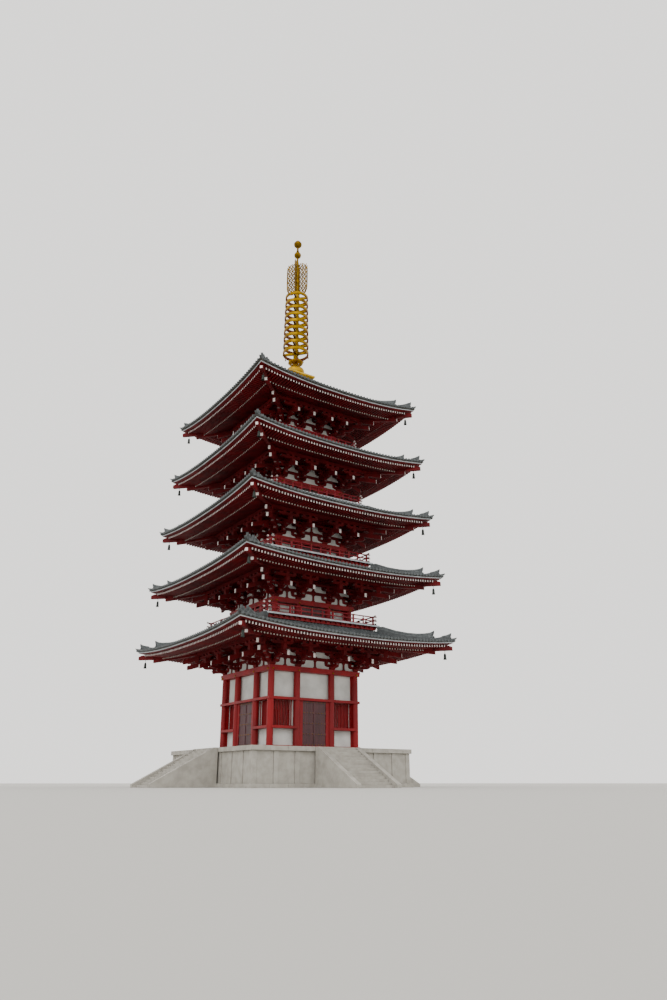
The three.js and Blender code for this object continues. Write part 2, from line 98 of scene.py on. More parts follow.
for name, energy, spread, turn in LAMPS:
    light = bpy.data.lights.new(name, "SUN")
    light.energy = energy
    light.angle = math.radians(spread)
    placed(name, light).rotation_euler = [math.radians(a) for a in turn]

floor_mesh = bpy.data.meshes.new("floor")
floor_corners = [(x * FLOOR_REACH, y * FLOOR_REACH, 0) for x, y in ((-1, -1), (1, -1), (1, 1), (-1, 1))]
floor_mesh.from_pydata(floor_corners, [], [(0, 1, 2, 3)])
placed("floor", floor_mesh)
# Cement screed: matt and plain, it only throws soft light back up under the eaves.
screed = bpy.data.materials.new("pale_screed")
screed.use_nodes = True
screed.node_tree.nodes["Principled BSDF"].inputs["Base Color"].default_value = linear("#b4b2ad")
screed.node_tree.nodes["Principled BSDF"].inputs["Roughness"].default_value = 0.9
floor_mesh.materials.append(screed)

# Stone podium: grey granite laid dry, a base course, corner and bay posts with slabs
# between them, and a cap course that carries the paved terrace. Each stone is sawn and
# its edges are rubbed, and the core behind the joints is painted dark as painted shade,
# so the joints read as dark lines.
HALF = 0.5
PODIUM = SimpleNamespace(core=6.42, half=6.5, base=6.65, base_top=0.26, cap=6.62, cap_low=2.3, ledge=0.8,
                         paving=2.45, top=2.6, post=0.36, joint=0.012, stones=9, bays=8, slabs=12)


def skinned(rings, finish=0, looped=False):
    """Rings of points joined one to the next, as (points, faces, finish number). The last ring
    joins the first, or both ends are closed, by a face or in a ring of one point."""
    points, numbers, faces = [], [], []
    for ring in rings:
        numbers.append(range(len(points), len(points) + len(ring)))
        points += ring
    sides = max(len(ring) for ring in rings)
    for lower, upper in zip(numbers, numbers[1:] + numbers[:1] if looped else numbers[1:]):
        for i in range(sides):
            j = (i + 1) % sides
            near = [lower[k % len(lower)] for k in (i, j)]
            far = [upper[k % len(upper)] for k in (j, i)]
            faces.append(tuple(dict.fromkeys(near + far)))
    if not looped:
        faces += [tuple(end) for end in (numbers[0][::-1], numbers[-1]) if len(end) > 1]
    return points, faces, finish


def block(x0, x1, y0, y1, z0, z1, finish=0):
    """A squared solid."""
    return skinned([[(x0, y0, z), (x1, y0, z), (x1, y1, z), (x0, y1, z)] for z in (z0, z1)], finish)


def moved(solids, place):
    """Copies of solids, with each point put where place says."""
    return [([place(*point) for point in points], faces, finish) for points, faces, finish in solids]


def turned(solids, angle):
    """Copies of solids, turned about the tower's axis by an angle in degrees."""
    c, s = math.cos(math.radians(angle)), math.sin(math.radians(angle))
    return moved(solids, lambda x, y, z: (c * x - s * y, s * x + c * y, z))


def around(solids):
    """The same solids on all four sides."""
    return [solid for side in range(4) for solid in turned(solids, 90 * side)]


def course(outer, inner, z0, z1, finish=0):
    """A square ring of four members that butt at the corners."""
    return around([block(-outer, inner, -outer, -inner, z0, z1, finish)])


def made(name, solids, finishes, bevel=0):
    """Solids in metres of the real tower become one piece at half size."""
    points, faces, numbers = [], [], []
    for some_points, some_faces, finish in solids:
        start = len(points)
        points += some_points
        faces += [tuple(start + i for i in face) for face in some_faces]
        numbers += [finish] * len(some_faces)
    mesh = bpy.data.meshes.new(name)
    mesh.from_pydata(points, [], faces)
    mesh.polygons.foreach_set("material_index", numbers)
    mesh.transform(Matrix.Scale(HALF, 4))
    return pieced(name, mesh, finishes, bevel)


def pieced(name, mesh, finishes, bevel=0):
    """A mesh becomes a piece that rides on the tower, with its faces outwards."""
    shape = bmesh.new()
    shape.from_mesh(mesh)
    bmesh.ops.recalc_face_normals(shape, faces=shape.faces)
    shape.to_mesh(mesh)
    shape.free()
    for finish in finishes:
        mesh.materials.append(finish)
    mesh.shade_smooth()
    mesh.set_sharp_from_angle(angle=math.radians(32))
    piece = placed(name, mesh)
    if bevel:
        edge = piece.modifiers.new("rubbed edges", "BEVEL")
        edge.width = HALF * bevel
        edge.segments = 1
        edge.limit_method = "ANGLE"
    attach(piece, "root")
    return piece


def finish_of(name, light, dark, roughness, patch, grain, stretch=(1, 1, 1), relief=0.3, metallic=0.0,
              gloss=0.5):
    """A surface of two mixed colours. Patch and grain are the sizes of its clouds and relief, in metres."""
    material = bpy.data.materials.new(name)
    material.use_nodes = True
    tree = material.node_tree
    tree.nodes.clear()
    place = add(tree, "ShaderNodeTexCoord")
    lay = add(tree, "ShaderNodeMapping", {"Vector": place.outputs["Object"], "Scale": stretch}).outputs[0]
    clouds = add(tree, "ShaderNodeTexNoise", {"Vector": lay, "Scale": 1 / (HALF * patch), "Detail": 5.0})
    fine = add(tree, "ShaderNodeTexNoise", {"Vector": lay, "Scale": 1 / (HALF * grain), "Detail": 4.0})
    spread = add(tree, "ShaderNodeMapRange", {"Value": clouds.outputs[0], "From Min": 0.35, "From Max": 0.65})
    tone = add(tree, "ShaderNodeMix", {
        "Factor": spread.outputs[0], 6: linear(dark), 7: linear(light)}, data_type="RGBA")
    sheen = add(tree, "ShaderNodeMapRange", {
        "Value": fine.outputs[0], "To Min": roughness - 0.08, "To Max": roughness + 0.08})
    bump = add(tree, "ShaderNodeBump", {
        "Height": fine.outputs[0], "Strength": relief, "Distance": HALF * grain * 0.2})
    shader = add(tree, "ShaderNodeBsdfPrincipled", {
        "Base Color": tone.outputs[2], "Roughness": sheen.outputs[0], "Normal": bump.outputs[0],
        "Metallic": metallic, "Specular IOR Level": gloss})
    add(tree, "ShaderNodeOutputMaterial", {"Surface": shader.outputs[0]})
    return material


# Sawn granite: speckled at grain size, with damp patches half a metre across.
granite = finish_of("sawn_granite", "#a39f96", "#918d84", 0.8, patch=0.5, grain=0.05, relief=0.4)
# Packed rubble of the core: painted near black as painted shade in the open joints, matt,
# and seen only through them.
joint_shade_rubble = finish_of("rubble_painted_joint_shade", "#55524c", "#3b3934", 0.9, patch=0.4, grain=0.1)

# The core block carries the painted shade: its dark finish shows as shadow between the stones.
podium = [block(-PODIUM.core, PODIUM.core, -PODIUM.core, PODIUM.core, 0.0, PODIUM.top - 0.06, 1)]
base_course = (PODIUM.base, 0.5, 0.0, PODIUM.base_top)
cap_course = (PODIUM.cap, PODIUM.ledge, PODIUM.cap_low, PODIUM.top)
for half, depth, low, high in (base_course, cap_course):
    length = (2 * half - depth) / PODIUM.stones
    for i in range(PODIUM.stones):
        x = -half + i * length
        podium += around([block(x, x + length - PODIUM.joint, -half, -half + depth, low, high)])
bay = 2 * PODIUM.half / PODIUM.bays
between = (PODIUM.base_top, PODIUM.cap_low)
for i in range(PODIUM.bays):
    x = -PODIUM.half + i * bay
    slab = (x + PODIUM.post + PODIUM.joint, x + bay - PODIUM.joint)
    podium += around([
        block(x, x + PODIUM.post, -PODIUM.half, -PODIUM.half + PODIUM.post, *between),
        block(*slab, -PODIUM.half + 0.05, -PODIUM.half + 0.3, *between)])
first = PODIUM.ledge - PODIUM.cap
size = -2 * first / PODIUM.slabs
paver = size - PODIUM.joint
for i in range(PODIUM.slabs):
    for j in range(PODIUM.slabs):
        x, y = first + i * size, first + j * size
        podium.append(block(x, x + paver, y, y + paver, PODIUM.paving, PODIUM.top))
piece = made("podium_stones", podium, [granite, joint_shade_rubble], bevel=0.012)
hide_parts("stone_podium")

# Steps: one flight on each side, fifteen solid granite treads between sloping cheek
# stones, set on the ground against the podium.
STEPS = SimpleNamespace(count=15, tread=0.3, half=1.4, outer=1.75, back=6.625, seam=0.003)
riser = PODIUM.top / STEPS.count
foot = PODIUM.cap + STEPS.count * STEPS.tread


def prism(outline, x0, x1, finish=0):
    """An outline of (distance out, height) on the front side, made solid from x0 to x1."""
    return skinned([[(x, -out, z) for out, z in outline] for x in (x0, x1)], finish)


def mirrored(solids):
    """The same solids on both hands of a side's middle."""
    return solids + moved(solids, lambda x, y, z: (-x, y, z))


flight = [block(-STEPS.half, STEPS.half, -(foot - i * STEPS.tread), -STEPS.back, i * riser,
                (i + 1) * riser - STEPS.seam) for i in range(STEPS.count)]
cheek = [(STEPS.back, 0), (foot + 0.3, 0), (foot + 0.3, 0.22),
         (foot - (STEPS.count - 1) * STEPS.tread, PODIUM.top), (STEPS.back, PODIUM.top)]
flight += mirrored([prism(cheek, STEPS.half + 0.004, STEPS.outer)])
for side, name in enumerate(("left", "front", "right", "back")):
    piece = made(f"flight_{name}", turned(flight, 90 * (side - 1)), [granite], bevel=0.015)
    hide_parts(f"steps_{name}")

# Timber frame: round cypress columns, twelve to a storey, tied by sill and head rails and
# crowned by a flat plate. It is jointed without nails and coated in red lacquer, and small
# gilt domes cover the rail fixings.
COLUMN = 0.24
RAIL = SimpleNamespace(proud=0.28, behind=0.24)
TRIM = 0.07

# Red lacquer: an even deep red with a soft sheen, its faint clouds drawn out along the posts.
red_lacquer = finish_of("red_lacquer", "#8c0c14", "#700910", 0.5, patch=1.2, grain=0.06,
                        stretch=(1, 1, 0.35), relief=0.15, gloss=0.25)
# Gilt copper: small warm glints on the joints.
gilt_copper = finish_of("gilt_copper", "#a17a20", "#765412", 0.45, patch=0.25, grain=0.03, relief=0.2,
                        metallic=1.0)


def real_box(node):
    """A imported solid's lowest and highest corner, in metres of the real tower."""
    return [[v / HALF for v in corner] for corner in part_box(node)]


def lathed(profile, sides, x=0.0, y=0.0, finish=0, looped=False):
    """A profile of (radius, height) turned about an upright axis. Radius 0 closes an end."""
    rings = []
    for radius, z in profile:
        angles = [math.tau * (i + 0.5) / sides for i in range(sides if radius else 1)]
        rings.append([(x + radius * math.cos(a), y + radius * math.sin(a), z) for a in angles])
    return skinned(rings, finish, looped)


def dome(x, out, z, radius, finish=0):
    """A small round boss on the front side."""
    circle = [(radius * math.cos(math.tau * i / 8), radius * math.sin(math.tau * i / 8)) for i in range(8)]
    return skinned([[(x + a * scale, -(out + radius * rise), z + b * scale) for a, b in circle]
                    for rise, scale in ((0.0, 1.0), (0.6, 0.8), (1.0, 0.35))], finish)


# The three bays of a side are set by half the centre bay. The lift is how far the eave
# corners rise above the middle, and the knee is where the lower rafters end. The rest is
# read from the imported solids.
storeys = []
for number, bay, lift in ((1, 1.5, 0.47), (2, 1.37, 0.47), (3, 1.24, 0.5), (4, 0.99, 0.55), (5, 0.88, 0.6)):
    first = number == 1
    storey = SimpleNamespace(number=number, bay=bay, lift=lift)
    wall_low, wall_high = real_box(f"wall_{number}")
    storey.floor = wall_low[2] - 0.001
    storey.wall = wall_high[0] + 0.241
    storey.plate = real_box(f"frame_{number}")[1][2]
    storey.corner = storey.plate + 2.15
    storey.line = storey.corner - lift
    storey.eave = real_box(f"roof_{number}")[1][0] - 0.20
    storey.knee = storey.eave - 1.43
    storey.deck = 0.0 if first else real_box(f"balcony_{number}")[1][0]
    storey.head = storey.floor + 3.3 if first else storey.plate - 0.36
    storey.door_half = 1.0 if first else bay - 0.2
    storey.window = (bay + 0.37, storey.wall - 0.37,
                     storey.floor + (1.5 if first else 0.24), storey.head - (0.0 if first else 0.06))
    storeys.append(storey)

for storey in storeys:
    floor_z, wall, bay, top = storey.floor, storey.wall, storey.bay, storey.plate - 0.16
    shaft = [(0, floor_z + 0.02), (COLUMN, floor_z + 0.02), (COLUMN, top - 0.55), (0.23, top - 0.3),
             (0.2, top), (0, top)]
    timbers = around([lathed(shaft, 20, x, -wall) for x in (-wall, -bay, bay)])
    timbers += around([block(-wall + 0.1, -wall + 0.27, -wall + 0.1, -wall + 0.27, floor_z + 0.1, top)])
    for low, high in ((floor_z + 0.002, floor_z + 0.18), (top - 0.2, top)):
        timbers += course(wall + RAIL.proud, wall - RAIL.behind, low, high)
    timbers += course(wall + 0.3, wall - 0.3, top, storey.plate)
    x0, x1, z0, z1 = storey.window
    if storey.number == 1:
        timbers += course(wall + 0.27, wall - RAIL.behind, storey.head, storey.head + 0.18)
        timbers += around(mirrored([
            block(storey.door_half, bay, -wall - 0.06, -wall + RAIL.behind, floor_z + 0.17,
                  storey.head + 0.01),
            block(bay, wall, -wall - 0.27, -wall + RAIL.behind, z0 - 0.18, z0)]))
    depth = (-wall + 0.19, -wall + 0.25)
    timbers += around(mirrored([
        block(x0 - TRIM, x1 + TRIM, *depth, z0 - TRIM, z0),
        block(x0 - TRIM, x1 + TRIM, *depth, z1, z1 + TRIM),
        block(x0 - TRIM, x0, *depth, z0, z1), block(x1, x1 + TRIM, *depth, z0, z1)]))
    timbers += around(mirrored([
        dome(x, wall + RAIL.proud, z, 0.07, 1) for x in (bay, wall) for z in (floor_z + 0.09, top - 0.1)]))
    storey.timbers = timbers

# Doors: pairs of cypress plank leaves on pivots, lacquered purple-brown, held by raised
# battens with rows of gilt bosses and a strip over the meeting edge. The upper storeys'
# doors are fixed shut between the columns and belong to the frame.
PLANKS, BOSSES, BATTEN, STRIP = 6, 4, 0.07, 0.05

# Door lacquer: dark purple-brown, with the grain of the upright planks just showing.
door_lacquer = finish_of("door_lacquer", "#4c1e24", "#371419", 0.5, patch=0.8, grain=0.03,
                         stretch=(4, 4, 0.4))


def door_leaves(half, low, high, out, timber, boss, battens):
    """A pair of leaves that meet in the middle of the front side."""
    leaf = [block(half * (i + 0.03) / PLANKS, half * (i + 0.97) / PLANKS, -out + 0.012, -out + 0.08,
                  low, high, timber) for i in range(PLANKS)]
    for i in range(battens):
        z = low + 0.09 + i * (high - low - 0.18) / (battens - 1)
        leaf.append(block(STRIP, half, -out - 0.02, -out + 0.03, z - BATTEN, z + BATTEN, timber))
        leaf += [dome(0.14 + k * (half - 0.26) / (BOSSES - 1), out + 0.02, z, 0.035, boss)
                 for k in range(BOSSES)]
    return mirrored(leaf) + [
        block(-half, half, -out + 0.02, -out + 0.07, low, high, timber),
        block(-STRIP, STRIP, -out - 0.024, -out + 0.03, low, high, timber)]


ground = storeys[0]
leaves = door_leaves(0.998, ground.floor + 0.182, ground.head - 0.002, ground.wall + 0.02, 0, 1, 5)
for side, name in enumerate(("front", "right", "back", "left")):
    piece = made(f"door_leaves_{name}", turned(leaves, 90 * side), [door_lacquer, gilt_copper])
    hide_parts(f"door_{name}")
for storey in storeys:
    if storey.number > 1:
        leaves = door_leaves(storey.door_half, storey.floor + 0.18, storey.head, storey.wall + 0.02, 2, 1, 3)
        storey.timbers += around(leaves)
    piece = made(f"columns_and_rails_{storey.number}", storey.timbers,
                 [red_lacquer, gilt_copper, door_lacquer])
    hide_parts(f"frame_{storey.number}")

# Walls: white lime plaster on a lath core between the columns, trowelled smooth. The first
# storey's windows have red bars. The upper ones are close-set bars, limewashed so that they
# read as pale as the plaster.

# Lime plaster: a matt cool white, with the faint clouds that a trowel leaves.
lime_plaster = finish_of("lime_plaster", "#d3d4d0", "#bcbdb9", 0.85, patch=0.9, grain=0.05, relief=0.2)
# Limewash on timber: chalky, and a shade greyer than the plaster.
limewash = finish_of("limewash", "#c9cac6", "#adaeab", 0.8, patch=0.4, grain=0.03, relief=0.2)

stock_tree = bpy.data.node_groups.new("stock along lines", "GeometryNodeTree")
STOCK_INPUTS = (("Lines", "Geometry"), ("Section", "Object"), ("Width", "Float"), ("Height", "Float"),
                ("Finish", "Material"))
for key, kind in STOCK_INPUTS:
    stock_tree.interface.new_socket(key, in_out="INPUT", socket_type="NodeSocket" + kind)
stock_tree.interface.new_socket("Stock", in_out="OUTPUT", socket_type="NodeSocketGeometry")
given = add(stock_tree, "NodeGroupInput").outputs
lines_in = add(stock_tree, "GeometryNodeMeshToCurve", {"Mesh": given["Lines"]})
upright = add(stock_tree, "GeometryNodeSetCurveNormal", {"Curve": lines_in.outputs[0]}, mode="Z_UP")
drawn_section = add(stock_tree, "GeometryNodeObjectInfo", {"Object": given["Section"]})
section_ring = add(stock_tree, "GeometryNodeMeshToCurve", {"Mesh": drawn_section.outputs["Geometry"]})
section_size = add(stock_tree, "ShaderNodeCombineXYZ", {"X": given["Width"], "Y": given["Height"], "Z": 1.0})
sized = add(stock_tree, "GeometryNodeTransform", {
    "Geometry": section_ring.outputs[0], "Scale": section_size.outputs[0]})
swept = add(stock_tree, "GeometryNodeCurveToMesh", {
    "Curve": upright.outputs[0], "Profile Curve": sized.outputs[0], "Fill Caps": True})
real = add(stock_tree, "GeometryNodeRealizeInstances", {"Geometry": swept.outputs[0]})
coated = add(stock_tree, "GeometryNodeSetMaterial", {
    "Geometry": real.outputs[0], "Material": given["Finish"]})
add(stock_tree, "NodeGroupOutput", {"Stock": coated.outputs[0]})


def section(name, outline):
    """A closed outline of (across, up), one metre wide and high, that stock is drawn with."""
    mesh = bpy.data.meshes.new(name)
    count = len(outline)
    mesh.from_pydata([(x, y, 0) for x, y in outline], [(i, (i + 1) % count) for i in range(count)], [])
    return bpy.data.objects.new(name, mesh)


def at_side(side, x, y, z):
    """A point of the front side, carried on by quarter turns."""
    for _ in range(side):
        x, y = -y, x
    return x, y, z


def drawn(name, lines, outline, width, height, finish):
    """Stock of one section along every line, on all four sides, in metres of the real tower. It
    becomes one piece at half size."""
    points, edges = [], []
    for side in range(4):
        for line in lines:
            edges += [(len(points) + i, len(points) + i + 1) for i in range(len(line) - 1)]
            points += [at_side(side, *point) for point in line]
    mesh = bpy.data.meshes.new(name + "_lines")
    mesh.from_pydata(points, edges, [])
    holder = placed(name + "_holder", mesh)
    maker = holder.modifiers.new("stock", "NODES")
    maker.node_group = stock_tree
    inputs = [item for item in stock_tree.interface.items_tree if item.in_out == "INPUT"]
    sockets = {item.name: item.identifier for item in inputs}
    for key, value in {"Section": outline, "Width": width, "Height": height, "Finish": finish}.items():
        maker[sockets[key]] = value
    whole = bpy.data.meshes.new_from_object(holder.evaluated_get(bpy.context.evaluated_depsgraph_get()))
    holder.modifiers.remove(maker)
    bpy.data.objects.remove(holder)
    whole.name = name
    whole.transform(Matrix.Scale(HALF, 4))
    return pieced(name, whole, [])


def both_hands(lines):
    """The same lines on both hands of a side's middle."""
    return lines + [[(-x, y, z) for x, y, z in line] for line in lines]


squared = section("squared", [(-0.5, -0.5), (0.5, -0.5), (0.5, 0.5), (-0.5, 0.5)])
ten_sides = [math.tau * (i + 0.5) / 10 for i in range(10)]
rounded = section("rounded", [(0.5 * math.cos(a), 0.5 * math.sin(a)) for a in ten_sides])

for storey in storeys:
    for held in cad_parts[f"wall_{storey.number}"].material_slots:
        held.material = lime_plaster
    x0, x1, z0, z1 = storey.window
    y = -storey.wall + 0.32
    pitch, size, finish, slot = (0.1, 0.07, limewash, "plaster")
    if storey.number == 1:
        pitch, size, finish, slot = (0.13, 0.06, red_lacquer, "red_timber")
    count = round((x1 - x0) / pitch)
    places = [x0 + (i + 0.5) * (x1 - x0) / count for i in range(count)]
    bars = both_hands([[(x, y, z0), (x, y, z1)] for x in places])
    drawn(f"window_bars_{storey.number}", bars, squared, size, size, finish)

# Bracket sets: over each column a bearing block carries crossing arms in two steps, then a
# sloping tail rafter that holds the eave purlin. They are sawn timber in red lacquer painted
# dark as painted shade, with white paint on the end grain and plaster panels between the
# wall beams.

# Arms are set by their height above the plate, and steps by their distance from the wall.
ARM = SimpleNamespace(size=0.2, low=0.2, middle=0.52, high=1.02, stepped=0.8, hook=0.95)
STEP = SimpleNamespace(first=0.7, second=1.24, purlin=1.75)
TAIL = SimpleNamespace(reach=2.35, drop=1.6, slope=0.3, depth=0.34, tip=0.31, width=0.18)
SEAT = 0.27
LATHS = 0.3
DIAGONAL = math.sqrt(2)

# Red lacquer under the eaves, painted darker than on the columns as painted shade,
# and duller, with hardly any shine.
shaded_red_lacquer = finish_of("red_lacquer_painted_shade", "#69080f", "#4d060b", 0.65, patch=0.9, grain=0.05,
                         stretch=(1, 1, 0.6), relief=0.2, gloss=0.2)
# Shell-white paint: chalky and almost white, so that sawn ends read as rows of dots.
end_paint = finish_of("white_end_grain_paint", "#e6dedb", "#cdc5c2", 0.7, patch=0.3, grain=0.03)
# The same paint, made grey-brown and much darker, on the small arm ends.
arm_paint = finish_of("grey_brown_arm_end_paint", "#75625f", "#5c4b49", 0.8, patch=0.3, grain=0.03)


def plate(outline, inner, outer, finish=0):
    """An outline of (x, height) on the front side, made solid between two distances out."""
    return skinned([[(x, -out, z) for x, z in outline] for out in (inner, outer)], finish)


def symmetric(half):
    """An outline from its right half, listed from the foot up."""
    return list(half) + [(-x, z) for x, z in reversed(half)]


def soffit(storey, out):
    """The height of the base rafters' underside, before the corners rise."""
    return storey.line - 0.47 + 0.3 * (storey.knee - max(out, storey.wall))


def bearing_block(x, out, z, size, height):
    """A square block whose lower part narrows to its foot."""
    square = ((-size, -size), (size, -size), (size, size), (-size, size))
    return skinned([[(x + a * part, -out + b * part, z + height * up) for a, b in square]
                    for part, up in ((0.36, 0.0), (0.5, 0.42), (0.5, 1.0))])


def arm_side(a, b, z):
    """The side of a bracket arm from a to b, its underside rounded up at both ends."""
    bow = [(run, z + up * ARM.size) for run, up in ((0.0, 0.6), (0.04, 0.34), (0.12, 0.12), (0.24, 0.0))]
    low = [(a + run, up) for run, up in bow] + [(b - run, up) for run, up in reversed(bow)]
    return low + [(b, z + ARM.size), (a, z + ARM.size)]


def out_arm(x, a, b, z):
    """An arm that steps out from the wall, with its painted end."""
    half = ARM.size / 2
    return [prism(arm_side(a, b, z), x - half, x + half),
            block(x - half, x + half, -b - 0.01, -b, z + 0.6 * ARM.size, z + ARM.size, 3)]


def wall_arm(x, out, left, right, z):
    """An arm along the wall that reaches left and right of x, with both ends painted."""
    half = ARM.size / 2
    end = (-out - half, -out + half, z + 0.6 * ARM.size, z + ARM.size, 3)
    return [plate(arm_side(x - left, x + right, z), out - half, out + half),
            block(x - left - 0.01, x - left, *end), block(x + right, x + right + 0.01, *end)]


def tail_rafter(start, reach, end_height, scale=1.0):
    """A sloping tail that ends in a deep white face. Its line is given square to the wall."""
    line = lambda out: end_height + TAIL.slope * (reach - out)
    half, tip, width = TAIL.depth / 2, TAIL.tip / 2, TAIL.width / 2
    side = [(start, line(start) - half), (reach - 0.2, line(reach - 0.2) - half), (reach, end_height - tip),
            (reach, end_height + tip), (reach - 0.25, line(reach - 0.25) + half), (start, line(start) + half)]
    end = scale * reach
    return [prism([(scale * out, z) for out, z in side], -width, width),
            block(-width, width, -end - 0.012, -end, end_height - tip, end_height + tip, 1)]


for storey in storeys:
    wall, plate_top, corner = storey.wall, storey.plate, storey.corner
    purlin_low = soffit(storey, wall + 1.86) - 0.25
    reach = 0.62 if storey.number < 4 else 0.54
    seat = lambda x, step, z, height: bearing_block(x, wall + step, plate_top + z, SEAT, height)
    sets = []
    for x in (-wall, -storey.bay, storey.bay, wall):
        at_corner = abs(x) == wall
        root = wall - (reach if at_corner else 0.2)
        left = reach if x > -wall else ARM.hook
        right = reach if x < wall else ARM.hook
        if x > -wall:
            sets.append(bearing_block(x, wall, plate_top, 0.46, 0.24))
        sets += out_arm(x, root, wall + 0.86, plate_top + ARM.low)
        sets += out_arm(x, root, wall + 1.38, plate_top + ARM.middle)
        tail = tail_rafter(wall - 0.3, wall + TAIL.reach, corner - TAIL.drop)
        sets += moved(tail, lambda across, y, z: (across + x, y, z))
        if not at_corner:
            sets += wall_arm(x, wall, reach, reach, plate_top + ARM.low)
            sets += wall_arm(x, wall, reach, reach, plate_top + ARM.high)
            sets.append(bearing_block(x, wall, plate_top + 0.76, 0.36, 0.27))
        elif x > 0:
            sets += out_arm(x, wall - reach, wall + reach, plate_top + ARM.high)
            crossing = arm_side(-wall - reach, -wall + reach, plate_top + ARM.high)
            sets.append(prism(crossing, -wall - 0.1, -wall + 0.1))
        sets += wall_arm(x, wall + STEP.first, left, right, plate_top + ARM.stepped)
        sets += wall_arm(x, wall + STEP.purlin, left + 0.1, right + 0.1, purlin_low - 0.34)
        sets.append(bearing_block(x, wall + STEP.purlin, plate_top + 0.86, 0.3,
                                  purlin_low - plate_top - 1.18))
        for along in (-0.82 * reach, 0, 0.82 * reach):
            if abs(x + along) < wall + 0.1:
                sets += [seat(x + along, 0, 0.39, 0.22), seat(x + along, 0, 1.21, 0.2)]
            sets.append(seat(x + along, STEP.first, 0.99, 0.14))
            sets.append(bearing_block(x + 1.1 * along, wall + STEP.purlin, purlin_low - 0.15, SEAT, 0.16))
        sets += [seat(x, STEP.first, 0.39, 0.14), seat(x, STEP.first, 0.71, 0.1),
                 seat(x, STEP.second, 0.71, 0.1)]
    side_bay = (storey.bay + wall) / 2
    strutted = {1: (0, side_bay, -side_bay), 2: (0, side_bay, -side_bay), 3: (0,)}
    for x in strutted.get(storey.number, ()):
        for low, high in ((plate_top, plate_top + 0.48), (plate_top + 0.78, plate_top + 1.28)):
            strut = symmetric([(0.22, low), (0.07, low + 0.14), (0.07, high)])
            sets.append(plate([(x + across, z) for across, z in strut], wall + 0.02, wall + 0.1))
            sets.append(bearing_block(x, wall + 0.02, high - 0.01, 0.24, 0.14))
    diagonal = []
    for end, z in ((0.84, ARM.low), (1.36, ARM.middle)):
        diagonal += out_arm(0, DIAGONAL * (wall - 0.2), DIAGONAL * (wall + end), plate_top + z)
        diagonal.append(bearing_block(0, DIAGONAL * (wall + end - 0.14), plate_top + z + 0.19, 0.3, 0.14))
    diagonal += tail_rafter(wall - 0.3, wall + 2.33, corner - 1.45, DIAGONAL)
    diagonal += tail_rafter(wall + 1.2, wall + 2.6, corner - 1.0, DIAGONAL)
    diagonal.append(bearing_block(0, DIAGONAL * (wall + STEP.purlin), corner - 1.1, 0.36,
                                  purlin_low - corner + 1.1))
    beams = course(wall + 0.03, wall - 0.05, plate_top + 0.001, plate_top + 1.42, 2)
    for outer, inner, low, high in (
            (0.1, -0.09, plate_top + 0.57, plate_top + 0.8), (0.09, -0.09, plate_top + 1.4, plate_top + 1.52),
            (0.78, 0.62, plate_top + 1.12, plate_top + 1.26), (1.86, 1.64, purlin_low, purlin_low + 0.25),
            (1.66, 0.05, purlin_low + 0.09, purlin_low + 0.12),
            (0.06, -0.05, plate_top + 1.42, max(plate_top + 1.53, purlin_low + 0.12))):
        beams += course(wall + outer, wall + inner, low, high)
    piece = made(f"bracket_sets_{storey.number}", around(sets) + around(turned(diagonal, 45)) + beams,
                 [shaded_red_lacquer, end_paint, lime_plaster, arm_paint])
    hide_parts(f"brackets_{storey.number}")
    laths = []
    count = int(2 * (wall + 1.5) / LATHS)
    for i in range(count):
        x = (i + 0.5 - count / 2) * LATHS
        inner = max(wall + 0.1, abs(x) + 0.08)
        laths.append([(x, -inner, purlin_low + 0.07), (x, -wall - 1.64, purlin_low + 0.07)])
    piece = drawn(f"eave_ceiling_laths_{storey.number}", laths, squared, 0.06, 0.05, shaded_red_lacquer)

# Eaves: two tiers of parallel rafters with white ends under boards, swept up to the corners
# on diagonal beams. A dark fascia and a pale board close the edge, and a cast bronze bell
# hangs from a rod at each corner. The rafters, boards and fascia take the red lacquer
# painted dark as painted shade.
RAFTER = SimpleNamespace(pitch=0.245, width=0.11, depth=0.16)
BEAM = 0.12

# Pale blue-white paint: matt, and cool beside the red.
pale_paint = finish_of("pale_blue_white_paint", "#bcc4c8", "#a2aaaf", 0.6, patch=0.8, grain=0.04)
# End paint with painted shade: greyer than the outer ends, because the lower rafters lie deep in the shade.
painted_shade_end_paint = finish_of("shaded_end_paint", "#bfbab2", "#9e9991", 0.75, patch=0.3, grain=0.03)
# Patinated bronze: blackish green, with next to no metal shine.
bell_bronze = finish_of("patinated_bell_bronze", "#222b25", "#161c18", 0.6, patch=0.1, grain=0.02,
                        metallic=0.3)


def corner_lift(storey, out, along):
    """How far the eaves rise at a distance out, along from the middle (0) to the corner (1)."""
    start = storey.wall + 1.9
    return storey.lift * along ** 2.4 * max(0.0, (out - start) / (storey.eave - start)) ** 1.3


def slab_top(storey, out):
    """The height of the boards that the tiles are bedded on."""
    rise = 0.27 * (storey.knee - max(out, storey.wall)) if out <= storey.knee else 0.0
    return storey.line + 0.06 * min(1.43, storey.eave - out) + rise


def carried_round(storey, profile, finish=0):
    """A closed profile of (distance out, height) carried round the sides and swept up."""
    rings = []
    for side in range(4):
        for along in [i / 8 - 1 for i in range(16)]:
            rings.append([at_side(side, out * along, -out, z + corner_lift(storey, out, abs(along)))
                          for out, z in profile])
    return skinned(rings, finish, looped=True)


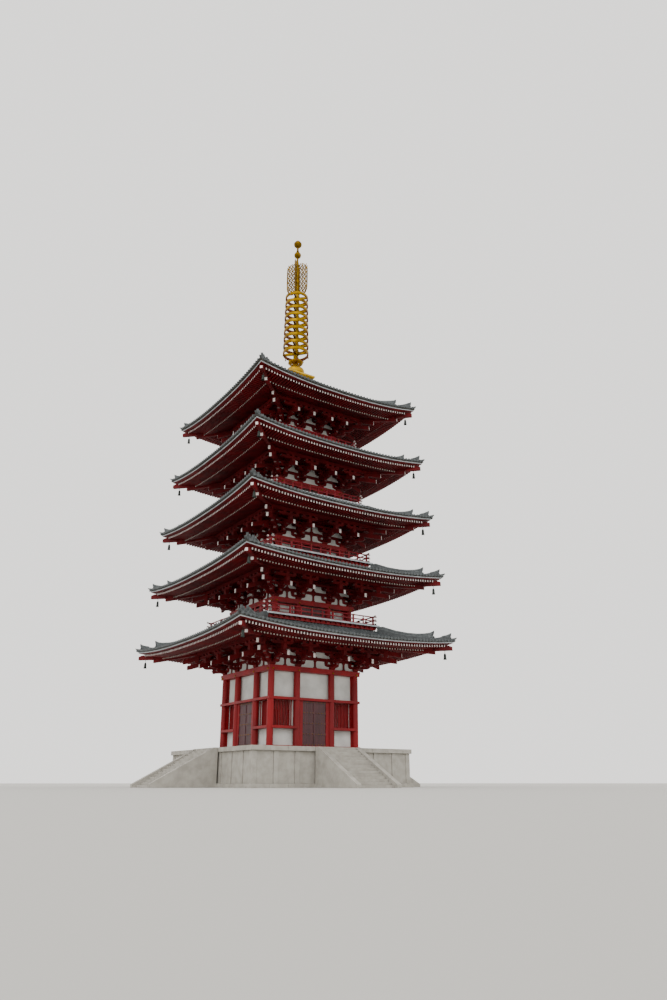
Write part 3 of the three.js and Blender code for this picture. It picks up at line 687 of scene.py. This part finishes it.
for storey in storeys:
    wall, eave, knee, line, corner = storey.wall, storey.eave, storey.knee, storey.line, storey.corner
    fly_end, start, depth = eave - 0.35, wall + 1.9, RAFTER.depth
    inner = storeys[storey.number].wall - 0.35 if storey.number < 5 else wall - 0.6
    boarding = [
        (inner, soffit(storey, wall) + depth), (wall, soffit(storey, wall) + depth),
        (start, soffit(storey, start) + depth), (knee, line - 0.47 + depth), (knee, line - 0.165),
        (fly_end, line - 0.165), (fly_end, line - 0.1), (eave - 0.1, line - 0.07),
        (knee, slab_top(storey, knee)), (wall, slab_top(storey, wall)), (inner, slab_top(storey, wall))]
    seat_beam = [
        (knee - 0.1, line - 0.27), (knee + 0.05, line - 0.27), (knee + 0.05, line - 0.34),
        (knee + 0.09, line - 0.34), (knee + 0.09, line - 0.14), (knee - 0.1, line - 0.14)]
    fascia = [
        (fly_end - 0.04, line - 0.165), (eave - 0.03, line - 0.165), (eave - 0.03, line - 0.13),
        (fly_end - 0.04, line - 0.13)]
    edge_board = [
        (eave - 0.3, line - 0.14), (eave, line - 0.14), (eave, line - 0.06), (eave - 0.3, line - 0.04)]
    boards = [carried_round(storey, profile) for profile in (boarding, seat_beam, fascia)]
    boards.append(carried_round(storey, edge_board, 1))

    base_end, tip = eave - 1.0, eave - 0.072
    lifted = lambda out, z: (DIAGONAL * out, z + corner_lift(storey, out, 1))
    roots = (wall + 0.3, start, base_end)
    base_beam = [lifted(out, soffit(storey, out) - 0.2) for out in roots]
    base_low = base_beam[-1][1]
    base_beam += [lifted(out, soffit(storey, out) + 0.22) for out in reversed(roots)]
    nose, face_out = DIAGONAL * base_end, DIAGONAL * tip
    fly_beam = [
        (DIAGONAL * (base_end - 0.15), corner - 0.72), (face_out, corner - 0.71), (face_out, corner - 0.45),
        (DIAGONAL * (tip - 0.2), corner - 0.35), lifted(base_end, line - 0.12)]
    hip = [prism(base_beam, -BEAM, BEAM), prism(fly_beam, -BEAM, BEAM),
           block(-0.095, 0.095, -face_out - 0.014, -face_out, corner - 0.69, corner - 0.48, 2),
           block(-0.1, 0.1, -nose - 0.02, -nose, base_low + 0.02, corner - 0.75, 2)]
    boards += around(turned(hip, 45))
    piece = made(f"eave_boards_{storey.number}", boards, [shaded_red_lacquer, pale_paint, end_paint])
    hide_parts(f"eaves_{storey.number}")

    base, base_ends, fly, fly_ends = [], [], [], []
    for i in range(int(fly_end / RAFTER.pitch)):
        x = (i + 0.5) * RAFTER.pitch
        centre = lambda out: corner_lift(storey, out, min(1, x / out)) + depth / 2
        low = lambda out: soffit(storey, out) + centre(out)
        flown = lambda out: line - 0.36 + 0.0185 * (fly_end - out) + centre(out)
        if x < knee - 0.2:
            first = max(wall + 0.1, x + 0.1)
            outs = [first] + [out for out in (start, (start + knee) / 2) if out > first + 0.1] + [knee]
            base.append([(x, -out, low(out)) for out in outs])
            base_ends.append([(x, -out, low(knee)) for out in (knee - 0.004, knee + 0.005)])
        if x < fly_end - 0.12:
            first = max(knee + 0.02, x + 0.1)
            fly.append([(x, -out, flown(out)) for out in (first, fly_end)])
            fly_ends.append([(x, -out, flown(fly_end)) for out in (fly_end - 0.004, fly_end + 0.005)])
    for name, lines, grow, finish in (
            ("base_rafters", base, 0, shaded_red_lacquer), ("base_rafter_ends", base_ends, -0.01, painted_shade_end_paint),
            ("fly_rafters", fly, 0, shaded_red_lacquer), ("fly_rafter_ends", fly_ends, -0.01, end_paint)):
        piece = drawn(f"{name}_{storey.number}", both_hands(lines), squared, RAFTER.width + grow,
                      depth + grow, finish)

    place, top, mouth = eave - 0.49, corner - 0.93, corner - 1.38
    shell = [(0.0, top + 0.01), (0.05, top), (0.08, top - 0.04), (0.095, top - 0.12), (0.1, top - 0.3),
             (0.13, mouth), (0.11, mouth), (0.08, top - 0.28), (0.0, top - 0.06)]
    rod = [(0, mouth - 0.03), (0.018, mouth - 0.03), (0.018, corner - 0.6), (0, corner - 0.6)]
    bell = [lathed(shell, 14, place, -place), lathed(rod, 6, place, -place)]
    made(f"corner_bells_{storey.number}", around(bell), [bell_bronze])

# Roofs: smoked grey clay tiles bedded on clay. Rows of half-round cover tiles run from the
# eave to the wall over curved pan tiles, each row closed at the eave by a round end tile.
# Ridges of stacked flat tiles follow the hips in two stages, each with an end tile.
ROW = 0.3
COVER = SimpleNamespace(width=0.17, height=0.1, lap=0.3)
PAN = SimpleNamespace(width=0.24, height=0.14, lap=0.24)


def tile_finish(name, light, dark, step, lap_shade_colour):
    """Smoked clay, with the lap of each tile drawn every step metres out from the tower's axis, as a small
    step and a dark line of painted shade.
    """
    material = finish_of(name, light, dark, 0.62, patch=0.45, grain=0.04, relief=0.25)
    tree = material.node_tree
    shader = next(node for node in tree.nodes if node.type == "BSDF_PRINCIPLED")
    place = next(node for node in tree.nodes if node.type == "TEX_COORD")
    split = add(tree, "ShaderNodeSeparateXYZ", {0: place.outputs["Object"]})
    sides = [add(tree, "ShaderNodeMath", {0: split.outputs[axis]}, operation="ABSOLUTE") for axis in "XY"]
    out = add(tree, "ShaderNodeMath", {0: sides[0].outputs[0], 1: sides[1].outputs[0]}, operation="MAXIMUM")
    laps = add(tree, "ShaderNodeMath", {0: out.outputs[0], 1: 1 / (HALF * step)}, operation="MULTIPLY")
    lap = add(tree, "ShaderNodeMath", {0: laps.outputs[0]}, operation="FRACT").outputs[0]
    # Painted shade: a dark line at every lap, where one tile's edge overhangs the next.
    lip = add(tree, "ShaderNodeMapRange", {"Value": lap, "From Min": 0.0, "From Max": 0.12})
    old_tone = shader.inputs["Base Color"].links[0].from_socket
    tone = add(tree, "ShaderNodeMix", {
        "Factor": lip.outputs[0], 6: linear(lap_shade_colour), 7: old_tone}, data_type="RGBA")
    tree.links.new(tone.outputs[2], shader.inputs["Base Color"])
    old_bump = shader.inputs["Normal"].links[0].from_socket
    step_up = add(tree, "ShaderNodeBump", {
        "Height": lap, "Strength": 0.6, "Distance": 0.01, "Normal": old_bump})
    tree.links.new(step_up.outputs[0], shader.inputs["Normal"])
    return material


# Smoked clay: silvery grey on the cover rows. The pans are painted darker as painted shade
# down between the rows, and the end tiles are darker too.
cover_clay = tile_finish("smoked_clay_cover_tiles", "#64696a", "#4a5051", COVER.lap, "#3d4244")
pan_clay_painted_shade = tile_finish("smoked_clay_pan_tiles_painted_shade", "#5b6163", "#43494b", PAN.lap, "#2f3335")
end_clay = finish_of("smoked_clay_end_tiles", "#4c5152", "#363a3b", 0.6, patch=0.3, grain=0.04)
# Bedding clay: dull and brown, a dark line under the tiles.
bedding_clay = finish_of("bedding_clay", "#4a4640", "#35322e", 0.9, patch=0.4, grain=0.05)

half_round = section("half_round", [
    (0.5 * math.cos(math.pi * i / 6), math.sin(math.pi * i / 6)) for i in range(7)])
pan = section("pan", [(-0.5, 0.5), (-0.5, 0.15), (-0.25, -0.3), (0, -0.45), (0.25, -0.3), (0.5, 0.15),
                      (0.5, 0.5), (0.25, 0.1), (0, -0.05), (-0.25, 0.1)])
ridge = section("ridge", symmetric([
    (0.5, -0.5), (0.5, -0.25), (0.43, -0.25), (0.43, 0.0), (0.36, 0.0), (0.36, 0.22), (0.29, 0.26),
    (0.23, 0.41), (0.12, 0.49)]))


def roof_surface(storey, out):
    """The height of the tiles at a distance out, before the corners rise."""
    base = storey.line + 0.15
    run = storey.edge - storey.head_out
    bend = (storey.head_z - base - storey.pitch * run) / run ** 2
    reach = storey.edge - max(out, storey.head_out)
    return base + storey.pitch * reach + bend * reach ** 2


def tiled(storey, out, x):
    """The height of the tiles at a distance out and a distance x along the side."""
    return roof_surface(storey, out) + corner_lift(storey, out, min(1.0, abs(x) / out))


def corner_line(storey, near, far, parts, rise, swell=0.0, power=1):
    """A line down a hip, above the tiles by a rise that swells towards its outer end."""
    line = []
    for part in parts:
        out = near + part * (far - near)
        line.append((out, -out, tiled(storey, out, out) + rise + swell * part ** power))
    return line


def ridge_end(width, low, high, inner, outer):
    """An upright end tile, waisted below its head."""
    half = ((1.0, 0.0), (1.0, 0.45), (0.7, 0.62), (0.75, 0.85), (0.32, 1.0))
    return plate(symmetric([(width * a, low + (high - low) * b) for a, b in half]), inner, outer, 1)


HORN = ((-0.7, 0.04), (-0.3, 0.11), (-0.05, 0.19), (0.1, 0.27), (0.14, 0.26), (0.12, 0.08), (0.05, -0.08),
        (-0.6, -0.12))
CORNER_TILE = ((-0.75, 0.04), (-0.75, 0.18), (-0.35, 0.19), (-0.1, 0.22), (0.0, 0.25), (0.0, 0.21),
               (-0.15, 0.07), (-0.4, 0.02))
for storey in storeys:
    above = storeys[storey.number] if storey.number < 5 else None
    storey.edge = storey.eave + 0.2
    storey.head_out = above.deck - 0.1 if above else 1.15
    storey.head_z = above.floor - 0.35 if above else real_box("roban")[0][2]
    storey.pitch = 0.03 if above else 0.3
    eave, edge, knee, wall = storey.eave, storey.edge, storey.knee, storey.wall
    head, line = storey.head_out, storey.line
    inner = above.wall - 0.3 if above else 0.4
    slopes = [edge + part * (head - edge) for part in (0.12, 0.3, 0.5, 0.7, 0.86)]
    bed = [(inner, slab_top(storey, wall) + 0.005), (wall, slab_top(storey, wall) + 0.005),
           (knee, slab_top(storey, knee) + 0.005), (eave - 0.1, line - 0.06), (edge - 0.08, line - 0.05),
           (edge - 0.08, line)]
    bed += [(out, roof_surface(storey, out) - 0.17) for out in slopes]
    bed += [(head, storey.head_z - 0.17), (inner, storey.head_z - 0.17)]
    upper_end, lower_end, corner_tip = eave - 1.1, eave - 0.18, DIAGONAL * (eave + 0.19)
    upper_z, lower_z = tiled(storey, upper_end, upper_end), tiled(storey, lower_end, lower_end)
    end_out, tip_out = DIAGONAL * upper_end, DIAGONAL * lower_end
    ends = [ridge_end(0.21, upper_z - 0.08, upper_z + 0.54, end_out - 0.05, end_out + 0.05),
            ridge_end(0.18, lower_z - 0.1, lower_z + 0.31, tip_out - 0.05, tip_out + 0.04),
            dome(0, end_out + 0.05, upper_z + 0.22, 0.11, 1), dome(0, tip_out + 0.04, lower_z + 0.1, 0.08, 1)]
    for outline, out, z, size, half in (
            (HORN, end_out, upper_z + 0.44, 1.0, 0.08), (HORN, tip_out, lower_z + 0.22, 0.9, 0.08),
            (CORNER_TILE, corner_tip, storey.corner, 1.0, 0.09)):
        ends.append(prism([(out + size * a, z + size * b) for a, b in outline], -half, half, 1))
    piece = made(f"roof_bed_and_ridge_ends_{storey.number}",
                 [carried_round(storey, bed)] + around(turned(ends, 45)), [bedding_clay, end_clay])
    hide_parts(f"roof_{storey.number}")

    covers, pans, discs = [], [], []
    count = int((edge - 0.2) / ROW)
    for i in range(-count, count + 1):
        for x, lines, drop in ((ROW * i, covers, 0.11), (ROW * (i + 0.5), pans, 0.13)):
            if abs(x) > edge - 0.2:
                continue
            last = max(head, abs(x) + 0.1)
            outs = [edge - 0.03 + part * (last - edge + 0.03) for part in (0, 0.15, 0.35, 0.6, 0.8, 1)]
            lines.append([(x, -out, tiled(storey, out, x) - drop) for out in outs])
            if lines is covers:
                discs.append([(x, -out, tiled(storey, out, x) - 0.1) for out in (edge - 0.035, edge - 0.002)])
    start = above.deck + 0.15 if above else 1.15
    root = start - 0.3
    upper = [(root, -root, tiled(storey, root, root) - 0.03)]
    upper += corner_line(storey, start, upper_end, (0, 0.25, 0.5, 0.7, 0.85, 0.94, 1), 0.15, 0.2, 5)
    lower = corner_line(storey, upper_end - 0.1, lower_end, (0, 0.3, 0.6, 0.8, 1), 0.0, 0.26, 2)
    beds = corner_line(storey, root, lower_end, (0, 0.2, 0.4, 0.6, 0.8, 0.9, 1), 0.02)
    for name, lines, outline, width, height, finish in (
            ("cover_tiles", covers, half_round, COVER.width, COVER.height, cover_clay),
            ("pan_tiles", pans, pan, PAN.width, PAN.height, pan_clay_painted_shade),
            ("round_end_tiles", discs, rounded, 0.2, 0.2, end_clay),
            ("hip_ridges", [upper], ridge, 0.32, 0.5, cover_clay),
            ("low_hip_ridges", [lower], ridge, 0.3, 0.26, cover_clay),
            ("hip_ridge_beds", [beds], squared, 0.26, 0.3, end_clay)):
        drawn(f"{name}_{storey.number}", lines, outline, width, height, finish)

# Balconies: planks on joists round each upper storey, with a pale painted floor edge over a
# dark red edge beam that rests on the roof below.
DECK = SimpleNamespace(edge=0.07, plank=0.2, gap=0.006, joists=0.45)
for storey in storeys[1:]:
    floor_z, deck, wall = storey.floor, storey.deck, storey.wall
    top = floor_z - DECK.gap
    parts = course(deck, deck - DECK.edge, floor_z - 0.12, floor_z, 2)
    planks = round((deck - DECK.edge - wall + 0.25) / DECK.plank)
    width = (deck - DECK.edge - wall + 0.25) / planks
    for i in range(planks):
        outer = deck - DECK.edge - i * width
        parts += course(outer - DECK.gap, outer - width + DECK.gap, floor_z - 0.1, top)
    parts += course(deck - 0.25, deck - 0.45, floor_z - 0.35, floor_z - 0.12, 1)
    parts += course(wall + 0.1, wall - 0.25, floor_z - 0.35, floor_z - 0.1, 1)
    parts += course(wall - 0.1, 0.0, floor_z - 0.1, top)
    # The planks take the red lacquer painted dark as painted shade, under the eaves above.
    piece = made(f"balcony_floor_{storey.number}", parts, [shaded_red_lacquer, red_lacquer, pale_paint])
    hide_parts(f"balcony_{storey.number}")
    joists = []
    count = int(2 * deck / DECK.joists)
    for i in range(count):
        x = (i + 0.5 - count / 2) * DECK.joists
        inner = max(wall, abs(x) + 0.05)
        if inner < deck - 0.3:
            joists.append([(x, -inner, floor_z - 0.19), (x, -deck + 0.1, floor_z - 0.19)])
    drawn(f"balcony_joists_{storey.number}", joists, squared, 0.1, 0.14, shaded_red_lacquer)

# Balustrades: three rails run past each other at the corners, with white ends that turn up
# a little. Posts with copper fittings divide a side into five, and a short strut stands
# halfway between them.
RAILS = (("foot", 0.085, 0.0, 0.1, 0.11), ("middle", 0.4, 0.02, 0.1, 0.07),
         ("top", 0.695, 0.045, 0.095, 0.095))
POST = 0.055

# Weathered lacquer: the rails stand in the rain and have faded to a pinker red.
rail_lacquer = finish_of("rail_lacquer", "#8d1f2a", "#70141d", 0.5, patch=0.7, grain=0.05, relief=0.15,
                         gloss=0.25)
# Aged copper: brown caps and feet with a dull shine.
aged_copper = finish_of("aged_copper_fittings", "#6e4520", "#4f2d14", 0.55, patch=0.2, grain=0.03,
                        metallic=0.6)


def post(x, out, half, low, high, finish=0):
    """A square upright on the front side."""
    return block(x - half, x + half, -out - half, -out + half, low, high, finish)


for storey in storeys[1:]:
    floor_z, line, tip = storey.floor, storey.deck - 0.38, storey.deck - 0.02
    white = []
    for name, up, rise, width, height in RAILS:
        z = floor_z + up
        right = [(line - 0.15, -line, z), (tip - 0.24, -line, z + 0.3 * rise), (tip, -line, z + rise)]
        rail = [(-x, y, bent) for x, y, bent in reversed(right)] + right
        white += both_hands([[(tip, -line, z + rise), (tip - 0.12, -line, z + 0.65 * rise)]])
        outline = rounded if name == "top" else squared
        piece = drawn(f"{name}_rails_{storey.number}", [rail], outline, width, height, rail_lacquer)
    drawn(f"rail_end_paint_{storey.number}", white, squared, 0.106, 0.1, end_paint)
    posts = []
    for x in [part * line for part in (-1, -0.6, -0.2, 0.2, 0.6)]:
        posts += [post(x, line, POST, floor_z, floor_z + 0.66),
                  post(x, line, POST + 0.012, floor_z, floor_z + 0.04, 1),
                  post(x, line, POST + 0.01, floor_z + 0.66, floor_z + 0.745, 1)]
    for x in [part * line for part in (-0.8, -0.4, 0, 0.4, 0.8)]:
        posts += [post(x, line, 0.04, floor_z + 0.1, floor_z + 0.4),
                  post(x, line, 0.03, floor_z + 0.5, floor_z + 0.66),
                  bearing_block(x, line, floor_z + 0.43, 0.14, 0.09)]
    piece = made(f"balustrade_posts_{storey.number}", around(posts), [rail_lacquer, aged_copper])
    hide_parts(f"balustrade_{storey.number}")

# Finial: cast bronze, gilded, threaded on one mast. From below: a square box with a cornice,
# a bowl, an open lotus, nine rings on spoked hubs, four pierced flame vanes, a ball and a
# pointed jewel.


def gilding(name, light, dark, roughness, metallic, patch=0.3):
    """Gold on bronze or copper. Wear makes it rougher, and thin gold looks less like metal."""
    return finish_of(name, light, dark, roughness, patch, 0.05, relief=0.2, metallic=metallic)


# The rings are bright and shine most, the bowl is fresher and yellower, and the hammered
# sheet of the box is pale. The vanes look duller and the mast is dark with weather. Inside
# the rings and on the inner petals the gold is painted brown as painted shade.
bright_gilt = gilding("gilded_bronze", "#917008", "#644905", 0.42, 1.0, patch=0.5)
shaded_gilt = gilding("gilding_painted_shade", "#965018", "#6e380e", 0.6, 0.4)
fresh_gilt = gilding("fresh_gilding", "#ab8404", "#826303", 0.45, 0.9, patch=0.5)
sheet_gilt = gilding("gilded_copper_sheet", "#c9a21c", "#a07e10", 0.5, 0.5, patch=0.5)
vane_gilt = gilding("pierced_vane_gilding", "#8f6d12", "#64490a", 0.6, 0.5)
dull_gilt = gilding("weathered_gilding", "#806009", "#5a4205", 0.5, 1.0)

box_low, box_high = (corner[2] for corner in real_box("roban"))
low, high = box_low + 0.24, box_high - 0.34
roban = []
for half, bottom, top in (
        (0.98, box_low - 0.16, box_low + 0.01), (1.1, box_low, box_low + 0.12),
        (1.04, box_low + 0.12, box_low + 0.2), (1.0, box_low + 0.2, box_high - 0.3),
        (1.12, box_high - 0.3, box_high - 0.23), (1.2, box_high - 0.23, box_high - 0.16),
        (1.29, box_high - 0.16, box_high)):
    roban += course(half, 0.0, bottom, top)
rim = [block(x0, x1, -1.03, -1.0, z0, z1, 1) for x0, x1, z0, z1 in (
    (0.06, 0.94, low, low + 0.04), (0.06, 0.94, high - 0.04, high),
    (0.06, 0.1, low, high), (0.9, 0.94, low, high))]
roban += around(mirrored(rim + [dome(0.5, 1.0, (low + high) / 2, 0.09, 1)]))
piece = made("square_box", roban, [sheet_gilt, bright_gilt])
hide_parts("roban")

BOWL = SimpleNamespace(radius=0.81, lip=0.84, stem=0.19)
bowl_low, lotus_high = (corner[2] for corner in real_box("bowl_and_lotus"))
shoulder, bowl_top = bowl_low + 0.66, bowl_low + 1.1
bowl = [(0, bowl_low), (BOWL.lip, bowl_low), (BOWL.lip, bowl_low + 0.07), (BOWL.radius, bowl_low + 0.09),
        (BOWL.radius, bowl_low + 0.34), (BOWL.lip, bowl_low + 0.36), (BOWL.lip, bowl_low + 0.44),
        (BOWL.radius, bowl_low + 0.46)]
for a in [math.radians(12 * i) for i in range(7)]:
    bowl.append((BOWL.radius * math.cos(a), shoulder + 0.44 * math.sin(a)))
bowl += [(BOWL.stem, bowl_top), (BOWL.stem, bowl_top + 0.06), (0.27, bowl_top + 0.1),
         (BOWL.stem, bowl_top + 0.14), (0.17, lotus_high - 0.02), (0, lotus_high - 0.02)]
lotus = [lathed(bowl, 32)]

PETAL = ((0.17, 0.0, 0.3), (0.38, 0.02, 0.36), (0.54, 0.14, 0.8), (0.63, 0.36, 1.0), (0.68, 0.64, 0.9),
         (0.7, 0.86, 0.5), (0.69, 1.0, 0.0))


def petal(angle, width, scale, low, high, finish):
    """One lotus petal. It leaves the stem on a thin stalk, then widens, turns up and ends in a point."""
    rings = []
    for reach, rise, spread in PETAL:
        out, z, half = 0.17 + (reach - 0.17) * scale, low + rise * (high - low), width * spread
        upper = [(-half, 0.03 - out, z), (0, -out - 0.02, z - 0.01), (half, 0.03 - out, z)]
        rings.append(upper + [(0.9 * x, y + 0.03, z + 0.02) for x, y, z in reversed(upper)])
    return turned([skinned(rings, finish)], angle)


for i in range(8):
    lotus += petal(45 * i, 0.24, 1.0, lotus_high - 0.43, lotus_high - 0.2, 0)
    # The inner petals are painted brown as painted shade.
    lotus += petal(45 * i + 22.5, 0.2, 0.86, lotus_high - 0.38, lotus_high - 0.12, 1)
piece = made("bowl_and_open_lotus", lotus, [fresh_gilt, shaded_gilt])
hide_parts("bowl_and_lotus")

BALL = SimpleNamespace(drop=1.81, radius=0.335)
JEWEL = SimpleNamespace(height=0.87, radius=0.386)
mast_low, mast_high = (corner[2] for corner in real_box("mast"))
flame_low, flame_high = (corner[2] for corner in real_box("flame"))
ball_z, jewel_low = mast_high - BALL.drop, mast_high - JEWEL.height
mast = [(0, mast_low), (0.13, mast_low), (0.13, flame_high + 0.1), (0.09, flame_high + 0.2),
        (0.09, ball_z - 0.33)]
for a in [math.radians(20 * i - 70) for i in range(8)]:
    mast.append((BALL.radius * math.cos(a), ball_z + BALL.radius * math.sin(a)))
mast += [(0.1, ball_z + 0.35), (0.15, ball_z + 0.41), (0.1, ball_z + 0.47), (0.1, jewel_low)]
mast += [(JEWEL.radius * r, jewel_low + JEWEL.height * h) for r, h in (
    (0.6, 0.05), (0.88, 0.18), (1.0, 0.36), (0.94, 0.52), (0.7, 0.68), (0.36, 0.82), (0.12, 0.92))]
piece = made("mast_ball_and_jewel", [lathed(mast + [(0, mast_high)], 24)], [dull_gilt])
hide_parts("mast")

# Each ring is an upright band, gilt outside and painted brown inside as painted shade, on
# four spokes that point at the corners of the roof. Small bells hang under the lowest one.
RING = SimpleNamespace(count=9, radius=1.19, taper=0.12, low=37.05, pitch=0.744, bell_out=1.155)
SLEEVE = 0.132
hub = [(SLEEVE, mast_low), (0.22, mast_low), (0.22, flame_low - 0.01), (SLEEVE, flame_low - 0.01)]
rings = [lathed(hub, 16, looped=True)]
for i in range(RING.count):
    radius = RING.radius - RING.taper * i / (RING.count - 1)
    z = RING.low + RING.pitch * i
    band = [(radius - 0.03, -0.135), (radius - 0.01, -0.14), (radius, -0.11), (radius, 0.11),
            (radius - 0.01, 0.14), (radius - 0.03, 0.135)]
    lining = [(radius - 0.14, -0.1), (radius - 0.03, -0.13), (radius - 0.03, 0.13), (radius - 0.14, 0.1)]
    collar = [(0.22, -0.15), (0.3, -0.12), (0.3, 0.12), (0.22, 0.15)]
    for profile, sides, finish in ((band, 36, 0), (lining, 36, 1), (collar, 16, 0)):
        rings.append(lathed([(out, z + up) for out, up in profile], sides, finish=finish, looped=True))
    spoke = [(0.28, z - 0.12), (radius - 0.1, z - 0.09), (radius - 0.1, z + 0.09), (0.28, z + 0.12)]
    rings += turned(around([prism(spoke, -0.08, 0.08)]), 45)
shell = [(0, 36.9), (0.02, 36.9), (0.045, 36.84), (0.065, 36.72), (0.0, 36.74)]
hook = [(0, 36.86), (0.01, 36.86), (0.01, 36.95), (0, 36.95)]
hung = [lathed(shell, 8, 0, -RING.bell_out), lathed(hook, 6, 0, -RING.bell_out)]
for i in range(8):
    rings += turned(hung, 45 * i + 22.5)
piece = made("nine_spoked_rings", rings, [bright_gilt, shaded_gilt])
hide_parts("nine_rings")

# The flame is four upright vanes of pierced work over the corners. Wavy stems cross the
# vane from foot to crown and part into eyes, each with a curling leaf, and tongues of
# flame stand along its edge.
EYE = SimpleNamespace(width=0.14, height=0.26)
LEAF = ((-0.05, -0.08), (0.03, -0.04), (0.04, 0.03), (-0.01, 0.05), (-0.03, 0.0))
EDGE = ((0.0, 0.55), (0.04, 0.8), (0.14, 0.92), (0.3, 0.955), (0.7, 0.955), (0.84, 0.92), (0.94, 0.78),
        (1.0, 0.42))
sleeve = [(SLEEVE, flame_low), (0.23, flame_low), (0.2, flame_low + 1.8), (0.16, flame_high - 0.2),
          (SLEEVE, flame_high)]
piece = made("flame_sleeve", [lathed(sleeve, 16, looped=True)], [dull_gilt])
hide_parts("flame")


def vane_edge(part):
    """How far out the vane reaches at a part of its height."""
    for (low, near), (high, far) in zip(EDGE, EDGE[1:]):
        if part <= high:
            return near + (far - near) * (part - low) / (high - low)
    return EDGE[-1][1]


def on_vane(points):
    """Points of (distance out, height) on the vane over a corner."""
    return [(out / DIAGONAL, -out / DIAGONAL, z) for out, z in points]


height = flame_high - flame_low
scrolls = [on_vane([(vane_edge(i / 24), flame_low + i / 24 * height) for i in range(25)])]
for row in range(6):
    odd = row % 2
    middle = 0.23 + EYE.width * row
    stem = []
    for part in [i / 60 for i in range(61)]:
        swing = 0.45 * EYE.width * math.sin(math.pi * part * height / EYE.height)
        out = middle + swing if odd else middle - swing
        if out < vane_edge(part) - 0.02:
            stem.append((out, flame_low + part * height))
    scrolls.append(on_vane(stem))
    for k in range(14):
        z = flame_low + (k + 0.5 + 0.5 * odd) * EYE.height
        part = (z + 0.08 - flame_low) / height
        if part < 0.98 and middle + 0.05 < vane_edge(part):
            scrolls.append(on_vane([(middle + a, z + b) for a, b in LEAF]))
for part in [0.05 + 0.072 * k for k in range(13)]:
    out, z = vane_edge(part), flame_low + part * height
    scrolls.append(on_vane([(out - 0.02, z), (out + 0.05, z + 0.05), (out + 0.03, z + 0.12),
                            (min(out + 0.07, 0.998), z + 0.2)]))
drawn("pierced_flame_vanes", scrolls, squared, 0.06, 0.06, vane_gilt)
